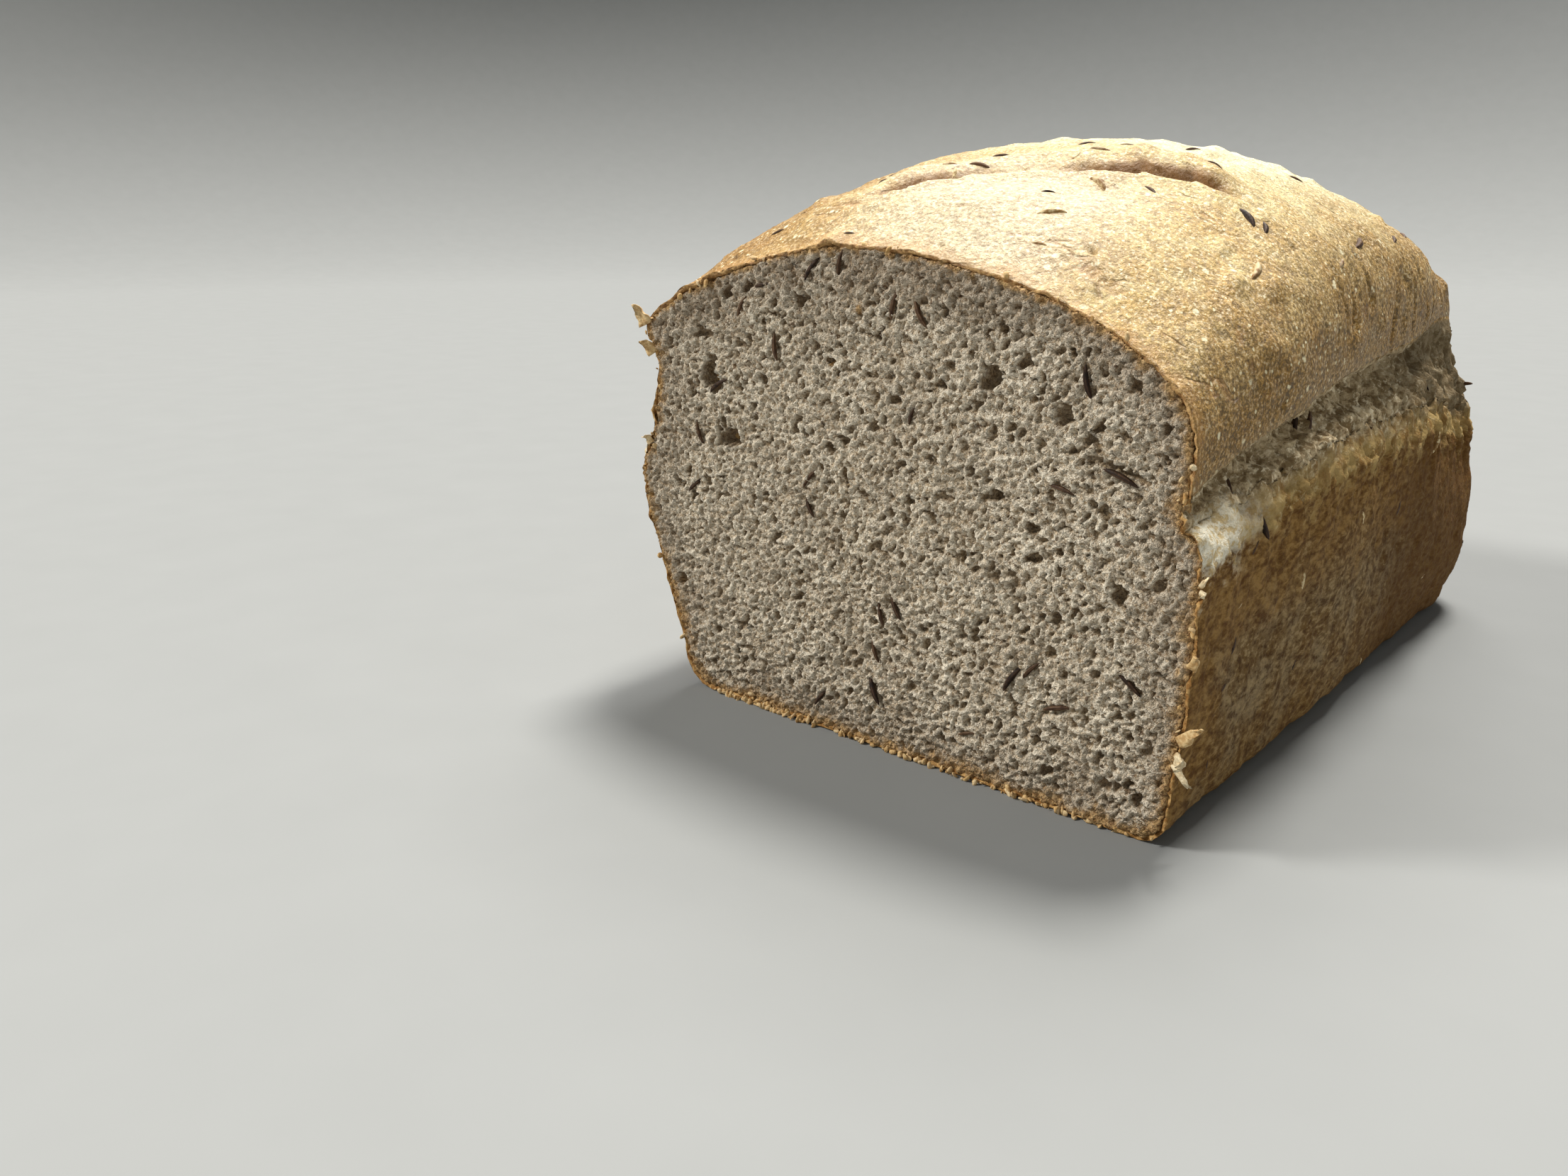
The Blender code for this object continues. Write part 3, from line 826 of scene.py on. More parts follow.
def crumb_face(outline, material):
    """The slab of crumb: its front open-celled, its sides and back plain, a little inside the crust's section."""
    chance = random.Random(11)
    low, high = outline.min(axis=0), outline.max(axis=0)
    across = np.arange(low[0], high[0], FACE_STEP)
    up = np.arange(low[1], high[1], FACE_STEP)
    x, z = np.meshgrid(across, up)
    rim = inside_depth(np.column_stack([x.ravel(), z.ravel()]), outline).reshape(x.shape)
    depth = np.zeros_like(rim)
    pull_z, pull_x = np.gradient(rim)

    for x_hole, z_hole, half_width, half_height in HOLES:
        half, wobble = (half_width, half_height), (x_hole * 900, z_hole * 700)
        press(depth, across, up, at(x_hole, 0, z_hole).xz, half, 0.2, min(half) * 1.9, wobble)
    for x_seed, z_seed, turn, length in FACE_SEEDS:
        press(depth, across, up, at(x_seed, 0, z_seed).xz, (length * 0.52, 0.0007), math.radians(turn), SEED_POCKET)
    press(depth, across, up, at(0.0425, 0, 0.0552).xz, (0.0046, 0.0006), -0.30, 0.0011, (1.0, 2.0))

    for tries, smallest, largest in CELL_KINDS:
        for _ in range(tries):
            place = (chance.uniform(low[0], high[0]), chance.uniform(low[1], high[1]))
            half = chance.uniform(smallest, largest)
            lift, turn, squash = chance.uniform(-0.5, 0.6), chance.uniform(0.6, 2.5), chance.uniform(0.45, 1.0)
            wobble = (chance.uniform(0, 6.3), chance.uniform(0, 6.3))
            i, j = int((place[0] - low[0]) / FACE_STEP), int((place[1] - low[1]) / FACE_STEP)
            near = rim[j, i]
            if near < 0.0004:
                continue
            if near < 0.0045:
                crowded = 0.65 + 0.35 * near / 0.0045
                half, squash = half * crowded, squash * (0.45 + 0.55 * crowded)
                turn = math.atan2(pull_x[j, i], -pull_z[j, i]) + chance.uniform(-0.3, 0.3)
            width = max(1, int(0.75 * half / FACE_STEP))
            window = depth[max(j - width, 0) : j + width + 1, max(i - width, 0) : i + width + 1]
            if (window > 0).mean() > 0.22:
                continue
            sink = half * (1.60 + 0.8 * lift)
            press(depth, across, up, place, (half, half * squash), turn, sink, wobble)

    shown = rim > CRUMB_INSET
    squares = shown[:-1, :-1] & shown[:-1, 1:] & shown[1:, 1:] & shown[1:, :-1]
    used = np.zeros_like(shown)
    for rows, columns in ((slice(None, -1), slice(None, -1)), (slice(None, -1), slice(1, None)),
                          (slice(1, None), slice(1, None)), (slice(1, None), slice(None, -1))):
        used[rows, columns] |= squares
    index = np.full(shown.shape, -1)
    index[used] = np.arange(used.sum())
    quads = np.stack([index[:-1, :-1], index[:-1, 1:], index[1:, 1:], index[1:, :-1]], axis=2)[squares]
    drawn = np.random.default_rng(23)
    depth = frayed(depth, drawn)
    side = np.abs(pull_x) / (np.hypot(pull_x, pull_z) + 1e-9)
    low_side = smooth(-0.2, -0.8, -pull_z / (np.hypot(pull_x, pull_z) + 1e-9))
    crust_width = 0.0007 + 0.0010 * side + 0.0013 * low_side + 0.0004 * patches(rim.shape, 0.003, drawn)
    crusty = 1 - smooth(0.5 * crust_width, 1.9 * crust_width, rim + 0.0004 * patches(rim.shape, 0.0008, drawn))
    torn = patches(rim.shape, 0.0008, drawn) * 0.00013 + patches(rim.shape, 0.00046, drawn) * 0.00009
    wavy = patches(rim.shape, 0.006, drawn) * 0.00022
    around = depth.copy()
    for _ in range(3):
        for axis in (0, 1):
            around = (np.roll(around, 1, axis) + around + np.roll(around, -1, axis)) / 3
    ridge = around - depth - 0.6 * torn
    sunk = 0.0007 * (1 - smooth(CRUMB_INSET, 0.0008, rim)) + depth * (1 - 0.35 * crusty) + torn + wavy
    front = np.column_stack([x[used], cut_y + sunk[used], z[used]])

    edges = np.concatenate([quads[:, [k, (k + 1) % 4]] for k in range(4)])
    keys = edges.min(axis=1) * len(front) + edges.max(axis=1)
    _, first, times = np.unique(keys, return_index=True, return_counts=True)
    border = edges[first[times == 1]]
    border_points = np.unique(border)
    behind = np.full(len(front), -1)
    behind[border_points] = len(front) + np.arange(len(border_points))
    back = front[border_points].copy()
    back[:, 1] = cut_y + CRUMB_SET - 0.0003
    hub = [[(low[0] + high[0]) / 2, cut_y + CRUMB_SET - 0.0003, high[1] * 0.45]]
    hub_index = len(front) + len(back)
    sides = np.column_stack([border[:, 1], border[:, 0], behind[border[:, 0]], behind[border[:, 1]]])
    fans = [(int(behind[b]), int(behind[a]), hub_index) for a, b in border]
    mesh = bpy.data.meshes.new("crumb_face")
    mesh.from_pydata(np.vstack([front, back, hub]).tolist(), [], quads.tolist() + sides.tolist() + fans)
    bm = bmesh.new()
    bm.from_mesh(mesh)
    bmesh.ops.recalc_face_normals(bm, faces=bm.faces)
    for face in bm.faces:
        face.smooth = face.index < len(quads)
    bm.to_mesh(mesh)
    bm.free()
    spare = len(back) + 1
    measured(
        mesh,
        deep=np.concatenate([(depth + 1.4 * torn)[used], np.full(spare, 0.001)]),
        crusty=np.concatenate([crusty[used], np.ones(spare)]),
        ridge=np.concatenate([ridge[used], np.zeros(spare)]),
        inside=np.concatenate([rim[used], np.zeros(spare)]),
        front=np.concatenate([np.ones(len(front)), np.zeros(spare)]),
    )

    grow = Growth("crumb_relief", {"Tuft height": 0.0014, "Grain height": 0.0008, "Web height": 0.00045})
    place = grow.position()
    flat = grow.stretched(place, (1.0, 0.0, 1.0))
    wall = 1 - (grow.measure("deep") / 0.0006).held() * 0.7
    tufts = (grow.noise(flat, 0.0012, 3.0, 0.6) - 0.5) * grow.size_of["Tuft height"] * wall
    grains = (grow.noise(flat, 0.0005, 2.0, 0.6) - 0.5) * grow.size_of["Grain height"]
    wide, narrow = crumb_web(grow, place)
    web = (wide + narrow * 0.4 - 0.5) * grow.size_of["Web height"] * wall
    forward = (tufts + grains + web) * grow.measure("front")
    offset = grow.joined(0.0, -forward, 0.0)
    moved = grow.add("GeometryNodeSetPosition", None, {"Geometry": grow.start, "Offset": offset})
    return grow.grow(moved, mesh, "crumb", material)


# ---------------------------------------------------------------- seeds, flakes and loose crumbs

# Caraway seeds that stand out on the crust, by place across and back, turn in degrees and length.
DOME_SEEDS = (
    (-0.0015, 0.036, 20, 0.0044, 0.2), (0.002, 0.024, 5, 0.0040, 0.6), (-0.003, 0.0225, 10, 0.0034, 1.4),
    (0.017, 0.037, 15, 0.0042, 1.3), (0.022, 0.027, -35, 0.0050, 1.5), (0.029, 0.031, -30, 0.0036, 0.3),
    (0.018, 0.019, 30, 0.0026, 0.0), (0.042, 0.038, -30, 0.0050, 0.0), (0.0445, 0.039, -60, 0.0036, 0.1),
    (0.022, 0.013, 30, 0.0048, 1.7), (0.024, 0.0065, 0, 0.0030, 1.5), (-0.008, 0.002, 10, 0.0028, 0.3),
    (0.0505, 0.066, -70, 0.0056, 0.5), (0.048, 0.028, -75, 0.0050, 1.5), (0.024, 0.057, 20, 0.0032, 0.2),
    (0.0525, 0.052, -80, 0.0036, 1.3), (0.010, 0.045, 50, 0.0036, 0.3), (-0.020, 0.030, 40, 0.0034, 0.3),
    (-0.028, 0.014, -20, 0.0030, 1.5), (-0.012, 0.016, 60, 0.0022, 0.1), (0.033, 0.046, 10, 0.0030, 0.4),
    (0.050, 0.088, -60, 0.0040, 0.3), (0.047, 0.105, -50, 0.0040, 0.6), (0.036, 0.075, 20, 0.0036, 0.3),
)
WALL_SEEDS = (
    (0.0405, 0.058, 40, 0.0050), (0.0425, 0.0575, 75, 0.0046), (0.070, 0.055, 40, 0.0042), (0.134, 0.057, 80, 0.0052),
    (0.020, 0.046, 80, 0.0046), (0.095, 0.0345, 75, 0.0046), (0.046, 0.016, 80, 0.0042), (0.0155, 0.028, 60, 0.0036),
    (0.013, 0.022, 30, 0.0034), (0.019, 0.043, 70, 0.0034),
)
DOME_SEED_SINK, WALL_SEED_SINK = 0.0002, 0.00035


def turned(normal, turn):
    """Euler angles that stand a shape on a surface, turned about the surface's normal."""
    normal = Vector(normal)
    return (normal.to_track_quat("Z", "X").to_matrix() @ Matrix.Rotation(turn, 3, "Z")).to_euler()


def lies_along(normal, along_way, turn):
    """Euler angles with Z on the normal and X along a given way, turned a little further about the normal."""
    z = Vector(normal).normalized()
    x = Vector(along_way) - z * z.dot(Vector(along_way))
    x.normalize()
    y = z.cross(x)
    frame_of = Matrix((x, y, z)).transposed()
    return (frame_of @ Matrix.Rotation(turn, 3, "Z")).to_euler()


class Places:
    """Where small pieces lie: a mesh of bare points, each with its turn, its size and a tone."""

    def __init__(self):
        self.points, self.turns, self.scales, self.tones = [], [], [], []

    def put(self, point, euler, scale, tone):
        self.points.append(tuple(point))
        self.turns.append(tuple(euler))
        self.scales.append(tuple(scale))
        self.tones.append(tone)

    def mesh(self, name):
        mesh = bpy.data.meshes.new(name)
        mesh.from_pydata(self.points, [], [])
        return measured(mesh, turn=self.turns, stretch=self.scales, tone=self.tones)


def scattered(grow, shape):
    """A shape set on every point of the bed, turned and stretched as the point says."""
    turn = grow.add("FunctionNodeEulerToRotation", None, {"Euler": grow.measure("turn", "FLOAT_VECTOR")})
    stretch = grow.measure("stretch", "FLOAT_VECTOR")
    inputs = {"Points": grow.start, "Instance": shape, "Rotation": turn, "Scale": stretch}
    return grow.add("GeometryNodeInstanceOnPoints", None, inputs)


def caraway_seeds(places, material):
    """Ribbed crescents, one unit long, pointed at both ends."""
    grow = Growth("caraway_seed", {"Half width": 0.118, "Bend": 0.16, "Rib depth": 0.18, "Points along": 12})
    size = grow.size_of
    inputs = {"Resolution": size["Points along"], "Start": (-0.5, 0.0, 0.0), "End": (0.5, 0.0, 0.0),
              "Middle": grow.joined(0.0, size["Bend"], size["Bend"] * 0.5)}
    spine = grow.add("GeometryNodeCurveQuadraticBezier", None, inputs)
    share = grow.add("GeometryNodeSplineParameter", None, None, "Factor")
    swell = grow.add("ShaderNodeMath", dict(operation="SINE"), {0: share * math.pi})
    swell = swell.most(0.0) ** 0.62 * (1.0 - share * 0.25) + 0.10
    circle = grow.add("GeometryNodeCurvePrimitiveCircle", None, {"Resolution": 10, "Radius": size["Half width"]})
    index = grow.add("GeometryNodeInputIndex")
    odd = grow.add("ShaderNodeMath", dict(operation="MODULO"), {0: index, 1: 2.0})
    ribbed = grow.scaled(grow.position(), 1 - odd * size["Rib depth"])
    circle = grow.add("GeometryNodeSetPosition", None, {"Geometry": circle, "Position": ribbed})
    circle = grow.add("GeometryNodeStoreNamedAttribute", dict(data_type="FLOAT", domain="POINT"),
                      {"Geometry": circle, "Name": "rib", "Value": 1 - odd})
    inputs = {"Curve": spine, "Profile Curve": circle, "Scale": swell, "Fill Caps": True}
    seed = grow.add("GeometryNodeCurveToMesh", None, inputs)
    return grow.grow(scattered(grow, seed), places.mesh("seed_places"), "caraway_seeds", material)


def rough_lumps(name, places, material, sizes):
    """Small uneven lumps: each starts as a ball, stretched and turned as its place says, and is worn by noise."""
    grow = Growth(name + "_lumps", sizes)
    ball = grow.add("GeometryNodeMeshIcoSphere", None, {"Radius": 1.0, "Subdivisions": 2}, "Mesh")
    lumps = grow.add("GeometryNodeRealizeInstances", None, {"Geometry": scattered(grow, ball)})
    place = grow.position()
    worn = (grow.noise(place, 0.0011, 2.0, 0.6) - 0.5) * grow.size_of["Lump wear"]
    bent = grow.noise(grow.moved(place, (3.0, 1.0, 2.0)), 0.0020, 1.0, output="Color")
    bend = grow.scaled(grow.moved(bent, (-0.5, -0.5, -0.5)), grow.size_of["Lump bend"])
    along_normal = grow.scaled(grow.add("GeometryNodeInputNormal", None, None, "Normal"), worn)
    offset = grow.moved(along_normal, bend)
    lumps = grow.add("GeometryNodeSetPosition", None, {"Geometry": lumps, "Offset": offset})
    lumps = grow.add("GeometryNodeSetShadeSmooth", None, {"Geometry": lumps, "Shade Smooth": True})
    return grow.grow(lumps, places.mesh(name + "_places"), name, material)


# Flaps of crust torn loose at the cut: side, height of the root, the way they point, length, width, curl, tone.
FLAPS = (
    (1, 0.0175, (0.70, -0.20, 0.70), 0.0066, 0.0018, 0.4, 0.15),
    (1, 0.0150, (0.90, -0.40, 0.10), 0.0040, 0.0017, 1.2, 0.80),
    (1, 0.0138, (0.55, -0.45, -0.70), 0.0042, 0.0013, -0.9, 0.85),
    (1, 0.0145, (0.95, -0.30, -0.25), 0.0030, 0.0012, 1.6, 0.95),
    (1, 0.0290, (0.45, -0.20, 0.85), 0.0038, 0.0016, 0.8, 0.10),
    (1, 0.0400, (0.95, -0.30, -0.10), 0.0019, 0.0008, 1.5, 0.80),
    (1, 0.0408, (0.40, -0.50, 0.75), 0.0015, 0.0007, -1.2, 0.70),
    (1, 0.0570, (0.60, -0.40, 0.65), 0.0014, 0.0008, 1.1, 0.80),
    (-1, 0.0700, (-0.35, -0.20, 0.92), 0.0050, 0.0030, 0.5, 0.20),
    (-1, 0.0650, (-0.45, -0.20, 0.75), 0.0036, 0.0026, 0.8, 0.15),
    (-1, 0.0480, (-0.45, -0.30, 0.70), 0.0024, 0.0018, 0.8, 0.40),
)
FLAP_THICK = 0.00045


def torn_flap(root, heading, length, width, curl, seed):
    """One ragged flap: a strip that narrows to a torn tip and curls, with a front, a back and edges between."""
    heading = Vector(heading).normalized()
    across = heading.cross(Vector((0, 1, 0))).normalized()
    out = across.cross(heading)
    points, steps, ribs = [], 9, 5
    for face in (1, -1):
        for i in range(steps):
            share = i / (steps - 1)
            bend = curl * share * share
            middle = root + heading * length * (share - 0.25 * abs(bend) * share) + out * (-0.5 * bend * length)
            for j in range(ribs):
                off = j / (ribs - 1) - 0.5
                torn = noise.noise(Vector((share * 3.1 + seed, off * 4 + seed, seed)))
                wide = width * (1.05 - 0.75 * share**1.3) * (1 + 0.9 * torn * (0.3 + share))
                dish = (noise.noise(Vector((share * 4 - seed, off * 3, seed))) * 0.5 - off * off) * width * 0.5
                thin = FLAP_THICK * (1 - 0.6 * share) * (1.0 if 0 < j < ribs - 1 else 0.35)
                points.append(middle + across * off * wide + out * (dish + face * thin)
                              + heading * (torn * 0.16 * length * share))
    index = np.arange(2 * steps * ribs).reshape(2, steps, ribs)
    faces = []
    for i in range(steps - 1):
        for j in range(ribs - 1):
            front = (index[0, i, j], index[0, i, j + 1], index[0, i + 1, j + 1], index[0, i + 1, j])
            back = (index[1, i, j], index[1, i + 1, j], index[1, i + 1, j + 1], index[1, i, j + 1])
            faces += [front, back]
    loop = [(i, 0) for i in range(steps)] + [(steps - 1, j) for j in range(1, ribs)]
    loop += [(i, ribs - 1) for i in range(steps - 2, -1, -1)] + [(0, j) for j in range(ribs - 2, 0, -1)]
    for k, here in enumerate(loop):
        there = loop[(k + 1) % len(loop)]
        faces.append((index[0][here], index[0][there], index[1][there], index[1][here]))
    return points, faces


def torn_flaps(material):
    """All the flaps as one piece."""
    points, faces, tones = [], [], []
    for number, (side, height, heading, length, width, curl, tone) in enumerate(FLAPS):
        edge = rows[starts["foot_turn"] :, 0 if side > 0 else -1, :3]
        root = Vector(edge[np.abs(edge[:, 2] - height).argmin()]) + Vector((-side * 0.0003, -0.0001, 0))
        made, woven = torn_flap(root, heading, length, width, curl, number + 0.37)
        faces += [tuple(int(corner) + len(points) for corner in face) for face in woven]
        points += made
        tones += [tone] * len(made)
    mesh = bpy.data.meshes.new("torn_flaps")
    mesh.from_pydata(points, [], faces)
    bm = bmesh.new()
    bm.from_mesh(mesh)
    bmesh.ops.recalc_face_normals(bm, faces=bm.faces)
    for face in bm.faces:
        face.smooth = True
    bm.to_mesh(mesh)
    bm.free()
    mesh.materials.append(material)
    return kept("torn_flaps", measured(mesh, tone=tones))


# ---------------------------------------------------------------- finishes


def crust_paint(name, gloss):
    """Baked crust: olive and mottled against the tin, grey crumb where it tore, golden and speckled on the dome."""
    paint = Paint(name)
    place = paint.place
    zone, way_round, way_up, dip, section = (
        paint.measure(measure) for measure in ("zone", "way_round", "way_up", "dip", "section")
    )
    unrolled = paint.joined(way_round, way_up, 0.0)
    upright = paint.stretched(unrolled, (1.0, 0.22, 1.0))
    fine = paint.noise(place, 0.0013, 4.0, 0.65)
    patch = paint.noise(place, 0.014, 4.0, 0.6)
    drawn = paint.stretched(place, (1.0, 0.55, 1.0))
    mottled = paint.noise(drawn, 0.0012, 4.0, 0.68)
    dots = paint.noise(paint.moved(place, (0.0, 0.0, 6.0)), 0.00060, 3.0, 0.7)
    from_cut = paint.parts(place)[1] - cut_y

    # tin wall: olive gold in the middle, orange brown towards its top, its foot, the cut and the rear
    streak = paint.noise(upright, 0.0034, 4.0, 0.62, 0.5)
    blotch = paint.noise(place, 0.0048, 4.0, 0.66, 0.3)
    wall = paint.mixed(patch.between(0.38, 0.62), (0.200, 0.118, 0.043), (0.300, 0.215, 0.115))
    wall = paint.mixed(streak.between(0.52, 0.74) * 0.22, wall, (0.330, 0.235, 0.105))
    wall = paint.mixed(blotch.between(0.52, 0.36) * 0.70, wall, (0.120, 0.060, 0.017))
    wall = paint.mixed(mottled.between(0.51, 0.62) * 0.85, wall, (0.430, 0.310, 0.155))
    wall = paint.mixed(mottled.between(0.49, 0.37) * 0.78, wall, (0.070, 0.032, 0.009))
    browned = (1 - (zone + (patch - 0.5) * 1.2).between(1.5, 2.6)).most((zone + (patch - 0.5)).between(2.45, 2.80))
    browned = browned.most(1 - (from_cut + (patch - 0.5) * 0.03).between(0.002, 0.018))
    browned = browned.most((from_cut + (blotch - 0.5) * 0.06).between(0.085, 0.150))
    toasted = paint.mixed(mottled.between(0.34, 0.66), (0.130, 0.056, 0.012), (0.350, 0.195, 0.055))
    wall = paint.mixed(browned * 0.85, wall, toasted)
    # darker towards the rear: painted shade
    wall = paint.mixed((from_cut + (blotch - 0.5) * 0.03).between(0.070, 0.112) * 0.66, wall, (0.120, 0.052, 0.010))

    # rim: cream and crumbly by the cut, made paler there as painted light too, then golden
    front = 1 - (from_cut + (blotch - 0.5) * 0.010 + (mottled - 0.5) * 0.016).between(0.003, 0.023)
    rim = paint.mixed(blotch.between(0.38, 0.60), (0.250, 0.140, 0.040), (0.460, 0.320, 0.125))
    cream = paint.mixed(fine.between(0.40, 0.54), (0.740, 0.580, 0.320), (1.000, 0.960, 0.800))
    rim = paint.mixed(front ** 0.7 * 0.95, rim, cream)
    rim = paint.mixed(fine.between(0.55, 0.66) * 0.5, rim, (0.700, 0.560, 0.320))
    on_rim = (zone + (blotch - 0.5) * 0.7 + (patch - 0.5) * 0.4 + (mottled - 0.5) * 0.5).between(2.90, 3.20)
    colour = paint.mixed(on_rim * 0.92, wall, rim)

    # torn band
    torn = paint.noise(place, 0.0024, 5.0, 0.65)
    band = paint.mixed(torn.between(0.40, 0.60), (0.230, 0.160, 0.078), (0.560, 0.440, 0.270))
    band = paint.mixed(fine.between(0.52, 0.64) * 0.8, band, (0.900, 0.780, 0.560))
    band = paint.mixed(fine.between(0.47, 0.36) * 0.8, band, (0.150, 0.092, 0.038))
    # darker towards the rear: painted shade
    band = paint.mixed((from_cut + (torn - 0.5) * 0.05).between(0.070, 0.118) * 0.70, band, (0.130, 0.092, 0.045))
    on_band = (zone + (torn - 0.5) * 0.7 + (patch - 0.5) * 0.9 - front * 0.3).between(3.50, 4.08)
    colour = paint.mixed(on_band, colour, band)

    # dome: its tones, then the fine mottling on them
    mottle = paint.noise(place, 0.0090, 4.0, 0.62, 0.4)
    across = paint.parts(place)[0]
    dome = paint.mixed(mottle.between(0.36, 0.64), (0.530, 0.335, 0.096), (0.630, 0.465, 0.190))
    rosy = paint.noise(paint.moved(place, (1.0, 2.0, 0.5)), 0.0055, 3.0, 0.6).between(0.55, 0.70)
    dome = paint.mixed(rosy * 0.12 * (1 - from_cut.between(0.03, 0.06)), dome, (0.600, 0.340, 0.190))
    # the left side: a deeper gold, also darkened there as painted shade
    left = 1 - (across + (mottle - 0.5) * 0.02).between(-0.040, 0.004)
    dome = paint.mixed(left * 0.92, dome, (0.300, 0.152, 0.030))
    # painted sheen: a pale pinkish patch on the crown by the cut, standing in for the light's reflection
    crown = zone.between(5.30, 5.62) * across.between(-0.022, 0.006) * (1 - across.between(0.026, 0.044))
    crown = crown * (1 - (from_cut + (mottle - 0.5) * 0.02).between(0.016, 0.046))
    dome = paint.mixed(crown * 0.55, dome, (0.820, 0.680, 0.500))
    # painted light: the top of the dome paler towards the rear, where light falls on it
    painted_rear_light = (from_cut + (mottle - 0.5) * 0.03).between(0.035, 0.085) * zone.between(5.25, 5.60)
    dome = paint.mixed(painted_rear_light * 0.80, dome, (1.000, 0.940, 0.620))
    # painted shade: the dome much darker low on its sides, towards its edge, turned from the light; the dots' contrast
    # is stronger there
    shaded_flank = 1 - (zone + (mottle - 0.5) * 0.10).between(5.03, 5.42)
    dome = paint.mixed(shaded_flank * 0.86, dome, (0.255, 0.126, 0.016))
    low, high = 0.70 - shaded_flank * 0.30, 1.12 + shaded_flank * 0.30
    dome = paint.scaled(dome, dots.between(0.36, 0.60, low, high) * fine.between(0.38, 0.62, 0.80, 1.16))
    # painted glints: small pale dots, fewer low on the sides and on the left
    painted_glints = dots.between(0.54, 0.63) * (0.52 - shaded_flank * 0.22) * (1 - left * 0.45)
    dome = paint.mixed(painted_glints, dome, (1.000, 0.930, 0.720))
    # darker in small pits and fine creases: partly their browner bake, partly painted shade
    pore = (0.30 - paint.cells(place, 0.0011)).most(0.0) * 5.0 * paint.noise(place, 0.0042, 2.0).between(0.46, 0.62)
    crease = wrinkles(paint, place)
    dome = paint.mixed((pore.held() * 0.60).most(crease * 0.40), dome, (0.330, 0.140, 0.036))
    bent = paint.moved(place, paint.scaled(paint.noise(place, 0.0006, 2.0, output="Color"), 0.0006))
    # pale specks: partly flecks in the skin, partly painted glints
    specks_and_glints = 0.0
    for apart, often in ((0.0013, 0.74), (0.0024, 0.84)):
        dot = 1 - paint.cells(bent, apart).between(0.14, 0.27)
        chosen = paint.parts(paint.cells(bent, apart, output="Color"))[0].between(often, often + 0.02)
        specks_and_glints = dot * chosen + specks_and_glints
    dome = paint.mixed((specks_and_glints * 0.90).held(), dome, (0.980, 0.880, 0.580))
    # brown in the fold's dip: partly its bake, partly painted shade in the crease
    dome = paint.mixed((dip * 1.8).held() * 0.90, dome, (0.240, 0.105, 0.022))
    near_cut = 1 - (from_cut + (fine - 0.5) * 0.004 + (mottle - 0.5) * 0.004).between(0.0004, 0.0032)
    dome = paint.mixed(near_cut * 0.45, dome, (0.420, 0.210, 0.050))
    colour = paint.mixed(zone.between(4.93, 5.03), colour, dome)

    # base, and the torn skin at the cut
    base = paint.mixed(patch.between(0.4, 0.6), (0.260, 0.130, 0.036), (0.350, 0.200, 0.075))
    colour = paint.mixed(zone.between(0.95, 1.3), base, colour)
    torn_edge = paint.mixed(fine.between(0.40, 0.62), (0.300, 0.145, 0.042), (0.600, 0.370, 0.145))
    colour = paint.mixed(section, colour, torn_edge)

    grain = paint.noise(place, 0.00050, 4.0, 0.7) * 0.00034
    coarse = paint.noise(place, 0.0013, 3.0, 0.62) * 0.00055
    roughness = fine.between(0.3, 0.7, 0.44, 0.62) + (0.40 - gloss) * 1.2
    wrinkled = coarse - crease * zone.between(4.95, 5.05) * 0.0004
    return paint.finish(colour, roughness, [(wrinkled, 0.9), (grain, 0.9)], gloss)


